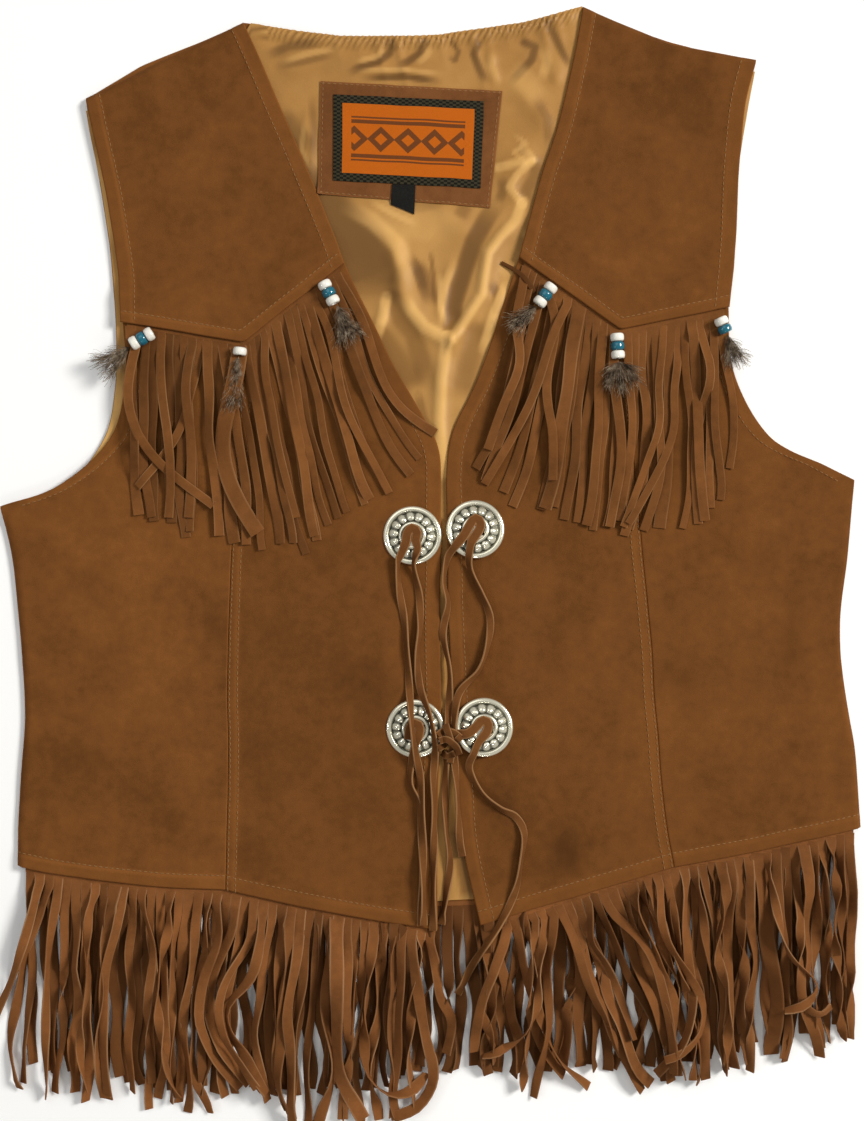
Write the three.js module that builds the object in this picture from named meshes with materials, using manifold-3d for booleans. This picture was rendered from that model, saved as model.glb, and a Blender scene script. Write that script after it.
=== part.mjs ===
// Fringed western vest, laid flat with its front up. Millimetres, +Z up.
// x grows towards the wearer's left and y towards the neck. The tables count x from the
// centre front and y from the lowest corner of the fronts; the last lines centre the whole.
import * as THREE from 'three';
import { mergeVertices } from 'three/addons/utils/BufferGeometryUtils.js';
import Module from 'manifold-3d';

const wasm = await Module();
wasm.setup();

// Driving sizes
const gap = 0.3;
const thick = { back: 1.5, lining: 1.0, front: 1.6, yoke: 1.6, strand: 1.0, patch: 1.0, label: 1.0 };
const liningLevel = thick.back + gap;
const frontLevel = liningLevel + thick.lining + gap;
const floorGap = 0.4;
const layerStep = thick.strand + gap;
const lace = { width: 5, thick: 1.4, step: 14 };
const bead = { diameter: 9, length: 5.3 };
const concho = { diameter: 38, height: 4.6, slotReach: 5, slotWide: 6.2, slotLong: 2.2 };
const knot = { at: [6.2, 122], half: [4.5, 9, 3.2] };
const probeStep = 4;

const leather = (color) => new THREE.MeshStandardMaterial({ color, roughness: 0.95, metalness: 0 });
const suede = leather(0x73481f);
const fringeSuede = leather(0x693e1e);
const laceLeather = leather(0x6b4020);
const satin = new THREE.MeshStandardMaterial({ color: 0xb98f4e, roughness: 0.35, metalness: 0 });
const wovenLabel = new THREE.MeshStandardMaterial({ color: 0xc8691c, roughness: 0.8, metalness: 0 });
const blackTape = new THREE.MeshStandardMaterial({ color: 0x24241f, roughness: 0.8, metalness: 0 });
const silver = new THREE.MeshStandardMaterial({ color: 0xb9b7ae, roughness: 0.25, metalness: 1 });
const whiteBead = new THREE.MeshStandardMaterial({ color: 0xe9e2d3, roughness: 0.3, metalness: 0 });
const blueBead = new THREE.MeshStandardMaterial({ color: 0x14708c, roughness: 0.3, metalness: 0 });
const feather = new THREE.MeshStandardMaterial({ color: 0x5c4c38, roughness: 1, metalness: 0 });

const vest = new THREE.Group();

function addNode(name, geometry, material) {
  const mesh = new THREE.Mesh(geometry, material);
  mesh.name = name;
  vest.add(mesh);
  return mesh;
}

// Small maths
const blend = (a, b, t) => a + (b - a) * t;
const mix = (p, q, t) => [blend(p[0], q[0], t), blend(p[1], q[1], t)];
const distance = (p, q) => Math.hypot(q[0] - p[0], q[1] - p[1]);
const evenly = (count) => Array.from({ length: count + 1 }, (_, i) => i / count);

function ease(t) {
  const c = Math.min(1, Math.max(0, t));
  return c * c * (3 - 2 * c);
}

// A repeatable number from 0 to 1 for each whole number
function chance(n) {
  const v = Math.sin(n * 12.9898 + 4.1414) * 43758.5453;
  return v - Math.floor(v);
}

// One value on the smooth curve through four neighbours
function curveThrough(a, b, c, d, t) {
  const rise = b - a + (c - b);
  const fall = d - c + (c - b);
  const h = t * t;
  const k = h * t;
  return (2 * k - 3 * h + 1) * b + (k - 2 * h + t) * rise / 2 + (3 * h - 2 * k) * c + (k - h) * fall / 2;
}

// A section table read between its rows, with a sharp turn at each row marked corner
function readTable(rows, t) {
  const i = Math.min(Math.floor(t), rows.length - 2);
  const [here, next] = [rows[i], rows[i + 1]];
  const before = i > 0 && !here.corner ? rows[i - 1] : null;
  const after = i < rows.length - 2 && !next.corner ? rows[i + 2] : null;
  const read = (pick) => {
    const [b, c] = [pick(here), pick(next)];
    const a = before ? pick(before) : 2 * b - c;
    const d = after ? pick(after) : 2 * c - b;
    return curveThrough(a, b, c, d, t - i);
  };
  const result = {};
  for (const key of Object.keys(here)) {
    if (Array.isArray(here[key])) result[key] = [read((row) => row[key][0]), read((row) => row[key][1])];
    else if (typeof here[key] === 'number') result[key] = read((row) => row[key]);
  }
  return result;
}

// A point at share s across a section, bowed towards the hem or bent at its peak
function across(row, s) {
  if (row.peak) return s < 0.5 ? mix(row.outer, row.peak, s * 2) : mix(row.peak, row.inner, s * 2 - 1);
  const [x, y] = mix(row.outer, row.inner, s);
  return [x, y - row.bow * 4 * s * (1 - s)];
}

// A function of share u along a chain of points, by length
function walk(points) {
  const reached = [0];
  points.slice(1).forEach((p, i) => reached.push(reached[i] + distance(points[i], p)));
  return (u) => {
    const want = u * reached.at(-1);
    const i = Math.min(points.length - 2, Math.max(0, reached.findIndex((r) => r >= want) - 1));
    return mix(points[i], points[i + 1], (want - reached[i]) / (reached[i + 1] - reached[i]));
  };
}

// Soft ridges: each is a line with a half width and a height, fading out past its ends
function ridgeHeight(ridges, x, y) {
  let height = 0;
  for (const ridge of ridges) {
    const [dx, dy] = [ridge.to[0] - ridge.from[0], ridge.to[1] - ridge.from[1]];
    const along = ((x - ridge.from[0]) * dx + (y - ridge.from[1]) * dy) / (dx * dx + dy * dy);
    const near = mix(ridge.from, ridge.to, Math.min(1, Math.max(0, along)));
    height = Math.max(height, ridge.height * Math.exp(-((distance([x, y], near) / ridge.width) ** 2)));
  }
  return height;
}

const liningRidges = [
  { from: [7, 384], to: [2, 356], width: 9, height: 3.0 },
  { from: [-5, 395], to: [-24, 424], width: 10, height: 2.8 },
  { from: [18, 404], to: [31, 438], width: 9, height: 2.8 },
  { from: [-46, 450], to: [-32, 430], width: 10, height: 1.8 },
];

const frontRidges = [
  { from: [-215, 70], to: [-200, 250], width: 34, height: 2.0 },
  { from: [-105, 60], to: [-100, 270], width: 26, height: 1.6 },
  { from: [-45, 70], to: [-48, 300], width: 24, height: 1.2 },
  { from: [55, 60], to: [52, 290], width: 22, height: 1.2 },
  { from: [105, 75], to: [95, 290], width: 24, height: 1.5 },
  { from: [215, 100], to: [210, 270], width: 32, height: 2.0 },
];

const liningFold = (x, y) => ridgeHeight(liningRidges, x, y);
const frontSwell = (x, y) => ridgeHeight(frontRidges, x, y);

// A wall between two grids of points that share their plan
function wallGeometry(top, bottom) {
  const [rows, columns] = [top.length, top[0].length];
  const at = (r, c, side) => (side * rows + r) * columns + c;
  const faces = [];
  const quad = (a, b, c, d) => faces.push([a, b, c], [a, c, d]);
  for (let r = 0; r < rows - 1; r += 1) {
    for (let c = 0; c < columns - 1; c += 1) {
      quad(at(r, c, 0), at(r, c + 1, 0), at(r + 1, c + 1, 0), at(r + 1, c, 0));
      quad(at(r, c, 1), at(r + 1, c, 1), at(r + 1, c + 1, 1), at(r, c + 1, 1));
    }
  }
  const ring = [];
  for (let c = 0; c < columns - 1; c += 1) ring.push([0, c]);
  for (let r = 0; r < rows - 1; r += 1) ring.push([r, columns - 1]);
  for (let c = columns - 1; c > 0; c -= 1) ring.push([rows - 1, c]);
  for (let r = rows - 1; r > 0; r -= 1) ring.push([r, 0]);
  ring.forEach((p, i) => {
    const q = ring[(i + 1) % ring.length];
    quad(at(...p, 1), at(...q, 1), at(...q, 0), at(...p, 0));
  });
  return facesToGeometry([...top.flat(), ...bottom.flat()], faces, top[0][0], top[0][1], top[1][0]);
}

// Faces are written for a grid that turns left; a grid that turns right has them reversed
function facesToGeometry(points, faces, corner, along, beside) {
  const [a, b] = [0, 1].map((axis) => [along[axis] - corner[axis], beside[axis] - corner[axis]]);
  const turn = a[0] * b[1] - b[0] * a[1];
  const geometry = new THREE.BufferGeometry();
  geometry.setAttribute('position', new THREE.Float32BufferAttribute(points.flat(), 3));
  geometry.setIndex(faces.flatMap((face) => (turn < 0 ? [face[0], face[2], face[1]] : face)));
  geometry.computeVertexNormals();
  return geometry;
}

// A cloth panel from its sections: under gives the height of its lower face
function panelGeometry({ sections, rowsAt, columnsAt, thickness, under, place = across }) {
  const bottom = rowsAt.map((t) => {
    const row = readTable(sections, t);
    return columnsAt.map((s) => {
      const [x, y] = place(row, s);
      return [x, y, under(x, y, t, s)];
    });
  });
  const top = bottom.map((line) => line.map(([x, y, z]) => [x, y, z + thickness]));
  return wallGeometry(top, bottom);
}

// Back and its lining: sections from the hem to the shoulders, and how far the shoulders
// and the neckline rise above the highest one
const backSections = [
  { outer: [-275, 41.5], inner: [274.5, 66.5], bow: 38, crown: 0 },
  { outer: [-274, 92], inner: [270.5, 115], bow: 26, crown: 0 },
  { outer: [-270.5, 136], inner: [263, 167], bow: 14, crown: 0 },
  { outer: [-273, 185], inner: [261, 200], bow: 6, crown: 0 },
  { outer: [-278, 237], inner: [266, 245], bow: 2, crown: 0 },
  { outer: [-286, 275], inner: [270, 292.5], bow: 0, crown: 0, corner: true },
  { outer: [-246, 290], inner: [250, 302], bow: 0, crown: 0.04 },
  { outer: [-221, 317], inner: [213, 323], bow: 0, crown: 0.1 },
  { outer: [-212.5, 353], inner: [191.5, 360], bow: 0, crown: 0.22 },
  { outer: [-212, 395], inner: [187, 402], bow: 0, crown: 0.4 },
  { outer: [-215, 442], inner: [191.5, 447], bow: 0, crown: 0.6 },
  { outer: [-221.5, 482], inner: [194.5, 495], bow: 0, crown: 0.8 },
  { outer: [-231.5, 541], inner: [206, 567], bow: 0, crown: 1 },
];

const crownProfile = [
  { along: 0, rise: 0 },
  { along: 0.083, rise: 20 },
  { along: 0.17, rise: 33 },
  { along: 0.237, rise: 44 },
  { along: 0.32, rise: 36 },
  { along: 0.38, rise: 31.5 },
  { along: 0.53, rise: 28.5 },
  { along: 0.65, rise: 33 },
  { along: 0.743, rise: 41.5 },
  { along: 0.8, rise: 27.5 },
  { along: 0.87, rise: 15 },
  { along: 0.93, rise: 7 },
  { along: 1, rise: 0 },
];

function crownRise(s) {
  const i = Math.min(crownProfile.length - 2, crownProfile.findLastIndex((row) => row.along <= s));
  const [a, b] = [crownProfile[i], crownProfile[i + 1]];
  return blend(a.rise, b.rise, (s - a.along) / (b.along - a.along));
}

function acrossBack(row, s) {
  const [x, y] = across(row, s);
  return [x, y + crownRise(s) * row.crown];
}

const back = addNode('back', panelGeometry({
  sections: backSections,
  rowsAt: [0, 0.5, 1, 2, 3, 4, 5, 5.5, 6, 6.5, 7, 7.5, 8, 9, 10, 11, 12],
  columnsAt: crownProfile.map((row) => row.along),
  thickness: thick.back,
  under: () => 0,
  place: acrossBack,
}), suede);

// The lining stops short of the back's edges, and its folds stand up in the open front
const liningInset = { side: 4.8, armhole: 1.5, neck: 2.5, shoulder: 8, hemRow: 0.08 };
const neckShares = [0.237, 0.743];

function acrossLining(row, s) {
  const [x, y] = acrossBack(row, s);
  const inset = blend(liningInset.side, liningInset.armhole, ease(row.crown * 12));
  const inNeck = s > neckShares[0] && s < neckShares[1];
  const lower = (inNeck ? liningInset.neck : liningInset.shoulder) * ease((row.crown - 0.8) / 0.2);
  return [x + inset * (1 - 2 * s), y - lower];
}

const backLining = addNode('back_lining', panelGeometry({
  sections: backSections,
  rowsAt: [liningInset.hemRow, 1.5, 3, 4, 5, 6, 7, 7.6, 8, 8.35, 8.7, 9, 9.3, 9.6, 10, 10.5, 11, 12],
  columnsAt: [0, 0.083, 0.17, 0.237, 0.32, 0.36, 0.4, 0.43, 0.46, 0.485, 0.51, 0.535, 0.56, 0.59, 0.62,
    0.66, 0.7, 0.743, 0.8, 0.87, 1],
  thickness: thick.lining,
  under: (x, y) => liningLevel + liningFold(x, y),
  place: acrossLining,
}), satin);

// Fronts: a side panel and a centre panel meet at the princess seam, from the hem to a
// tuck under the yoke
const sideSections = {
  right: [
    { outer: [-275, 41.5], inner: [-139, 26], bow: 3.5 },
    { outer: [-274, 92], inner: [-138, 84], bow: 1 },
    { outer: [-270.5, 136], inner: [-138, 136], bow: 0 },
    { outer: [-273, 185], inner: [-137.5, 185], bow: 0 },
    { outer: [-278, 237], inner: [-136, 230], bow: 0 },
    { outer: [-286, 275], inner: [-134.5, 262], bow: 0, corner: true },
    { outer: [-247.5, 290], inner: [-133, 288], bow: 0 },
    { outer: [-218, 318], inner: [-131.5, 316], bow: 0 },
    { outer: [-207.5, 358], inner: [-129.5, 352], bow: 0 },
    { outer: [-207.5, 395], inner: [-128, 382], bow: 0 },
    { outer: [-208.5, 409], inner: [-128, 396], bow: 0 },
  ],
  left: [
    { outer: [274.5, 66.5], inner: [152, 41], bow: 1 },
    { outer: [270.5, 115], inner: [145, 88], bow: 0 },
    { outer: [263, 160], inner: [141, 134], bow: 0 },
    { outer: [261, 200], inner: [137.5, 181], bow: 0 },
    { outer: [266, 245], inner: [133, 232], bow: 0 },
    { outer: [270, 292.5], inner: [129.5, 270], bow: 0, corner: true },
    { outer: [251, 302], inner: [127.5, 293], bow: 0 },
    { outer: [214.5, 321], inner: [125, 318], bow: 0 },
    { outer: [191.5, 362], inner: [121, 354], bow: 0 },
    { outer: [188, 405], inner: [116.5, 390], bow: 0 },
    { outer: [188.5, 419], inner: [115, 404], bow: 0 },
  ],
};

const centreSections = {
  right: [
    { outer: [-139, 26], inner: [-2, 0], bow: 1.5 },
    { outer: [-138, 84], inner: [-1.5, 84], bow: 0 },
    { outer: [-138, 136], inner: [0.5, 150], bow: 0 },
    { outer: [-137.5, 185], inner: [0, 214], bow: 0 },
    { outer: [-136, 230], inner: [0.5, 262], bow: 0 },
    { outer: [-134.5, 262], inner: [0.5, 292], bow: 0 },
    { outer: [-133, 288], inner: [-1.5, 314], bow: 0 },
    { outer: [-131.5, 316], inner: [-11, 334], bow: 0 },
    { outer: [-129.5, 352], inner: [-33, 373], bow: 0 },
    { outer: [-128, 382], inner: [-62, 434], bow: 0 },
    { outer: [-128, 396], inner: [-68.5, 449], bow: 0 },
  ],
  left: [
    { outer: [152, 41], inner: [26, 3], bow: 0 },
    { outer: [145, 88], inner: [15, 52], bow: 0 },
    { outer: [141, 134], inner: [11, 104], bow: 0 },
    { outer: [137.5, 181], inner: [8, 150], bow: 0 },
    { outer: [133, 232], inner: [5, 215], bow: 0 },
    { outer: [129.5, 270], inner: [4.5, 268], bow: 0 },
    { outer: [127.5, 293], inner: [4, 299], bow: 0 },
    { outer: [125, 318], inner: [8.5, 325], bow: 0 },
    { outer: [121, 354], inner: [26, 363], bow: 0 },
    { outer: [116.5, 390], inner: [51.5, 437], bow: 0 },
    { outer: [115, 404], inner: [57, 451], bow: 0 },
  ],
};

// The hem stands over its fringe strip down to hemStep, and below the underarm row a side
// edge rolls down over sideRoll to meet the back
const underarmRow = 5;
const hemStep = [0.17, 0.36];
const sideRoll = 0.026;
const armRoll = 0.4;
const frontRows = [0, ...hemStep, 1, 2, 3, 4, 4.6, 5, 5.35, 5.7, 6.1, 6.5, 7, 7.5, 8, 8.5, 9, 10];

function frontUnder(x, y, t) {
  const hem = layerStep * (1 - ease((t - hemStep[0]) / (hemStep[1] - hemStep[0])));
  return frontLevel + hem + frontSwell(x, y) + liningFold(x, y);
}

function sideUnder(x, y, t, s) {
  const open = Math.max(ease(s / sideRoll), ease((t - underarmRow + armRoll) / armRoll));
  return blend(liningLevel, frontUnder(x, y, t), open);
}

// Half of the seam's gap comes off the inner edge of a side panel and the outer edge of a
// centre one
function seamed(sections, column, shift) {
  return sections.map((row) => ({ ...row, [column]: [row[column][0] + shift, row[column][1]] }));
}

const fronts = [];
for (const [side, inward] of [['right', 1], ['left', -1]]) {
  fronts.push(addNode(`front_side_${side}`, panelGeometry({
    sections: seamed(sideSections[side], 'inner', -inward * gap / 2),
    rowsAt: frontRows,
    columnsAt: [0, sideRoll, 0.15, 0.36, 0.58, 0.8, 1],
    thickness: thick.front,
    under: sideUnder,
  }), suede));
  fronts.push(addNode(`front_centre_${side}`, panelGeometry({
    sections: seamed(centreSections[side], 'outer', inward * gap / 2),
    rowsAt: frontRows,
    columnsAt: evenly(6),
    thickness: thick.front,
    under: frontUnder,
  }), suede));
}

// Yokes: sections from the shoulder down to the pointed lower edge, which rides over the
// fringe strip on the tucked fronts
const yokeSections = {
  right: [
    { outer: [-231, 541], peak: [-179.5, 567], inner: [-128, 590.5] },
    { outer: [-223, 506], peak: [-168, 533], inner: [-113, 557] },
    { outer: [-216.5, 474], peak: [-157, 493], inner: [-97.5, 520] },
    { outer: [-211.5, 445], peak: [-146.5, 452], inner: [-83, 487] },
    { outer: [-208.5, 419], peak: [-137, 415], inner: [-70.5, 456] },
    { outer: [-207.5, 395], peak: [-128, 382], inner: [-62, 433] },
  ],
  left: [
    { outer: [206, 566.5], peak: [149, 577], inner: [93.5, 601] },
    { outer: [198.5, 535], peak: [143, 543], inner: [87, 567] },
    { outer: [195, 503], peak: [136, 505], inner: [77.5, 527] },
    { outer: [193.5, 470], peak: [129.5, 466], inner: [68, 497] },
    { outer: [191.5, 436], peak: [122.5, 427], inner: [59, 464] },
    { outer: [188, 405], peak: [116.5, 390], inner: [51.5, 437] },
  ],
};
const yokeRise = thick.front + gap + thick.strand + gap;
const yokeStep = [3.75, 4.3];
const shoulderRoll = 0.1;

function yokeUnder(x, y, t) {
  const rise = yokeRise * ease((t - yokeStep[0]) / (yokeStep[1] - yokeStep[0]));
  const over = frontLevel + rise + frontSwell(x, y) + liningFold(x, y);
  return blend(liningLevel, over, ease(t / shoulderRoll));
}

const yokes = ['right', 'left'].map((side) => addNode(`yoke_${side}`, panelGeometry({
  sections: yokeSections[side],
  rowsAt: [0, shoulderRoll, 0.8, 1.6, 2.4, 3.2, yokeStep[0], 4, yokeStep[1], 4.65, 5],
  columnsAt: evenly(8),
  thickness: thick.yoke,
  under: yokeUnder,
}), suede));

// What rests on the cloth is lowered onto it
const caster = new THREE.Raycaster();
const downward = new THREE.Vector3(0, 0, -1);

function heightOver(targets, x, y) {
  caster.set(new THREE.Vector3(x, y, 100), downward);
  const hit = caster.intersectObjects(targets, false)[0];
  return hit ? hit.point.z : 0;
}

// The highest surface under a flat band between two plan points
function heightUnderBand(targets, from, to, width) {
  const long = distance(from, to) || 1;
  const side = [(from[1] - to[1]) / long * width / 2, (to[0] - from[0]) / long * width / 2];
  const steps = evenly(Math.max(1, Math.ceil(long / probeStep)));
  return Math.max(...steps.flatMap((v) => [-1, 0, 1].map((k) => {
    const [x, y] = mix(from, to, v);
    return heightOver(targets, x + side[0] * k, y + side[1] * k);
  })));
}

// Fringes: a comb of flat strands cut from one strip. Each plan has its edge, how far the
// strip reaches in under the cloth and out past it, and a table of where the tips lie.
// A stray strand leaves its neighbours and lies on top of them.
const hemEdge = (side) => [
  ...evenly(5).map((s) => across(readTable(sideSections[side], 0), s)),
  ...evenly(5).slice(1).map((s) => across(readTable(centreSections[side], 0), s)),
];
const yokeEdge = (side) => {
  const row = yokeSections[side].at(-1);
  return [row.outer, row.peak, row.inner];
};

const fringes = [
  {
    name: 'yoke_fringe_right', edge: yokeEdge('right'), count: 31, ends: [0.025, 0.975],
    tuck: 6, drop: 4, width: 3.9, seed: 100, uneven: 7,
    tips: [
      { tip: [-199, 271], bend: -2 },
      { tip: [-181, 263], bend: -2 },
      { tip: [-163, 257], bend: 1 },
      { tip: [-133, 251], bend: 2 },
      { tip: [-101, 248], bend: 2 },
      { tip: [-82, 249], bend: 0 },
      { tip: [-61, 273], bend: -2 },
      { tip: [-33, 285], bend: -4 },
      { tip: [-2, 321], bend: -6 },
    ],
    strays: [
      { strand: 1, via: [-190, 315], tip: [-148, 276] },
      { strand: 13, via: [-134, 322], tip: [-92, 254] },
      { strand: 27, via: [-28, 356], tip: [2, 322] },
    ],
  },
  {
    name: 'yoke_fringe_left', edge: yokeEdge('left'), count: 31, ends: [0.025, 0.975],
    tuck: 6, drop: 4, width: 3.9, seed: 200, uneven: 7,
    tips: [
      { tip: [191, 298], bend: 0 },
      { tip: [171, 264], bend: 1 },
      { tip: [143, 262], bend: 5 },
      { tip: [123, 261], bend: 5 },
      { tip: [106, 261], bend: 1 },
      { tip: [83, 269], bend: 0 },
      { tip: [59, 277], bend: 1 },
      { tip: [34, 286], bend: 2 },
      { tip: [20, 318], bend: 4 },
    ],
    strays: [
      { strand: 9, via: [143, 300], tip: [118, 262] },
      { strand: 23, via: [56, 345], tip: [29, 304] },
    ],
  },
  {
    name: 'hem_fringe_front_right', edge: hemEdge('right'), count: 44, ends: [0.02, 0.995],
    tuck: 7, drop: 8, width: 4.7, seed: 300, uneven: 9, low: true,
    tips: [
      { tip: [-276, -101], bend: -2 },
      { tip: [-245, -110], bend: 3 },
      { tip: [-213, -107], bend: -3 },
      { tip: [-184, -114], bend: 3 },
      { tip: [-158, -115], bend: -4 },
      { tip: [-126, -108], bend: -8 },
      { tip: [-98, -123], bend: -3 },
      { tip: [-69, -127], bend: 4 },
      { tip: [-38, -126], bend: -4 },
      { tip: [-4, -108], bend: 3 },
    ],
    strays: [
      { strand: 1, via: [-287, -30], tip: [-305, -80] },
      { strand: 15, via: [-166, -62], tip: [-142, -108] },
      { strand: 24, via: [-147, -48], tip: [-128, -93] },
      { strand: 37, via: [-56, -62], tip: [-34, -104] },
    ],
  },
  {
    name: 'hem_fringe_front_left', edge: hemEdge('left'), count: 41, ends: [0.02, 0.995],
    tuck: 7, drop: 8, width: 4.7, seed: 400, uneven: 9, low: true,
    tips: [
      { tip: [274, -69], bend: 3 },
      { tip: [246, -79], bend: -3 },
      { tip: [218, -86], bend: 4 },
      { tip: [195, -89], bend: -3 },
      { tip: [178, -94], bend: 3 },
      { tip: [163, -97], bend: 5 },
      { tip: [148, -98], bend: 3 },
      { tip: [133, -103], bend: -3 },
      { tip: [98, -103], bend: -5 },
      { tip: [24, -80], bend: -5 },
    ],
    strays: [
      { strand: 6, via: [226, -45], tip: [250, -84] },
      { strand: 18, via: [160, -58], tip: [140, -92] },
      { strand: 27, via: [124, -56], tip: [106, -96] },
      { strand: 38, via: [56, -62], tip: [38, -92] },
    ],
  },
  {
    name: 'hem_fringe_back', edge: crownProfile.map((row) => across(backSections[0], row.along)),
    count: 80, ends: [0.01, 0.99], tuck: -gap, drop: 7, width: 5.2, seed: 500, uneven: 8,
    floor: true,
    tips: [
      { tip: [-268, -90], bend: 2 },
      { tip: [-200, -99], bend: -3 },
      { tip: [-135, -103], bend: 3 },
      { tip: [-65, -104], bend: -3 },
      { tip: [0, -92], bend: 2 },
      { tip: [65, -92], bend: -3 },
      { tip: [135, -90], bend: 3 },
      { tip: [200, -78], bend: -3 },
      { tip: [266, -60], bend: 2 },
    ],
    strays: [],
  },
];

const tipTaper = 0.88;
const edgeShare = (plan, k) => blend(plan.ends[0], plan.ends[1], k / plan.count);
const bendPeak = 27 / 4;

function tipAt(plan, k) {
  const share = Math.min(1, Math.max(0, k / plan.count));
  return readTable(plan.tips, share * (plan.tips.length - 1));
}

// The root, the points on the way and the tip of one strand. Its bend is largest two thirds
// of the way down and its sway at the tip.
function strandPoints(plan, i) {
  const [x, y] = walk(plan.edge)(edgeShare(plan, i + 0.5));
  const root = [x, y - plan.drop];
  const stray = plan.strays.find((row) => row.strand === i);
  const { tip, bend } = tipAt(plan, i + 0.5);
  const long = distance(root, tip);
  const ahead = [(tip[0] - root[0]) / long, (tip[1] - root[1]) / long];
  const spacing = distance(tipAt(plan, i - 0.5).tip, tipAt(plan, i + 1.5).tip) / 2;
  const room = spacing * (plan.floor ? 1 : 2) - plan.width - 1;
  const loose = Math.max(0, Math.min(room, plan.width));
  const sway = loose * ((chance(plan.seed + i) - 0.5) * 0.6 + Math.sin(i * 0.7 + plan.seed) * 0.25);
  const reach = (chance(plan.seed + i + 50) - 0.5) * plan.uneven;
  const onWay = (v) => {
    const [px, py] = mix(root, tip, v);
    const out = (bend * bendPeak * (1 - v) + sway) * v ** 2;
    return [px - ahead[1] * out + ahead[0] * reach * v, py + ahead[0] * out + ahead[1] * reach * v];
  };
  if (stray) return [root, onWay(1 / 3), stray.via, stray.tip];
  return [root, ...(plan.floor ? [1 / 2, 1] : [1 / 3, 2 / 3, 1]).map(onWay)];
}

// The height of a strand's lower face at one of its points
function strandUnder(plan, i, points, k) {
  const stray = plan.strays.some((row) => row.strand === i);
  const layer = stray ? 2 : i % 2;
  const spare = stray ? gap * 4 : 0;
  if (plan.floor) return floorGap;
  if (plan.low) return floorGap + layerStep * (1 + layer);
  const before = mix(points[Math.max(0, k - 1)], points[k], k > 0 ? 0.3 : 0);
  const after = points[Math.min(points.length - 1, k + 1)];
  return Math.max(
    heightUnderBand(fronts, before, points[k], plan.width),
    heightUnderBand(fronts, points[k], after, plan.width),
  ) + gap + spare + layerStep * layer;
}

function fringeGeometry(plan) {
  const line = walk(plan.edge);
  const rows = Array.from({ length: plan.count + 1 }, (_, k) => {
    const [x, y] = line(edgeShare(plan, k));
    return { inner: [x, y + plan.tuck], outer: [x, y - plan.drop] };
  });
  const stripUnder = (k) => {
    if (plan.floor) return floorGap;
    if (plan.low) return frontLevel;
    const near = [rows[Math.max(0, k - 1)], rows[k], rows[Math.min(plan.count, k + 1)]];
    return Math.max(...near.map((row) => heightUnderBand(fronts, row.inner, row.outer, 1))) + gap;
  };
  const points = [];
  const faces = [];
  const add = ([x, y], z) => points.push([x, y, z]) - 1;
  const quad = (a, b, c, d) => faces.push([a, b, c], [a, c, d]);
  const strip = rows.map((row, k) => {
    const z = stripUnder(k);
    return {
      innerLow: add(row.inner, z), innerHigh: add(row.inner, z + thick.strand),
      outerLow: add(row.outer, z), outerHigh: add(row.outer, z + thick.strand),
    };
  });
  strip.slice(1).forEach((next, i) => {
    const here = strip[i];
    quad(here.innerHigh, here.outerHigh, next.outerHigh, next.innerHigh);
    quad(here.innerLow, next.innerLow, next.outerLow, here.outerLow);
    quad(here.innerLow, here.innerHigh, next.innerHigh, next.innerLow);
    const route = strandPoints(plan, i);
    let [leftLow, leftHigh] = [here.outerLow, here.outerHigh];
    let [rightLow, rightHigh] = [next.outerLow, next.outerHigh];
    const turn = Math.sign(rows[i + 1].outer[0] - rows[i].outer[0]);
    route.slice(1).forEach((point, j) => {
      const [from, to] = [route[j], route[Math.min(route.length - 1, j + 2)]];
      const long = distance(from, to);
      const half = plan.width / 2 * (j === route.length - 2 ? tipTaper : 1) * turn;
      const side = [-(to[1] - from[1]) / long * half, (to[0] - from[0]) / long * half];
      const z = strandUnder(plan, i, route, j + 1);
      const left = [point[0] - side[0], point[1] - side[1]];
      const right = [point[0] + side[0], point[1] + side[1]];
      const top = z + thick.strand;
      const section = [add(left, z), add(left, top), add(right, z), add(right, top)];
      quad(leftHigh, section[1], section[3], rightHigh);
      quad(leftLow, rightLow, section[2], section[0]);
      quad(leftLow, section[0], section[1], leftHigh);
      quad(rightLow, rightHigh, section[3], section[2]);
      [leftLow, leftHigh, rightLow, rightHigh] = section;
    });
    quad(leftLow, rightLow, rightHigh, leftHigh);
  });
  const [first, last] = [strip[0], strip.at(-1)];
  quad(first.innerLow, first.outerLow, first.outerHigh, first.innerHigh);
  quad(last.innerLow, last.innerHigh, last.outerHigh, last.outerLow);
  const [corner, along, beside] = [first.innerHigh, first.outerHigh, strip[1].innerHigh];
  return facesToGeometry(points, faces, points[corner], points[along], points[beside]);
}

const [yokeFringes, hemFringes] = [[], []];
for (const plan of fringes) {
  const mesh = addNode(plan.name, fringeGeometry(plan), fringeSuede);
  (plan.low || plan.floor ? hemFringes : yokeFringes).push(mesh);
}

// Label: a suede patch on the lining, a woven label on it and a blank size tab below
function patchGeometry(corners, cells, thickness, under) {
  const [a, b, c, d] = corners;
  const bottom = evenly(cells[1]).map((v) => evenly(cells[0]).map((u) => {
    const [x, y] = mix(mix(a, b, u), mix(d, c, u), v);
    return [x, y, under(x, y)];
  }));
  return wallGeometry(bottom.map((line) => line.map(([x, y, z]) => [x, y, z + thickness])), bottom);
}

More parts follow.
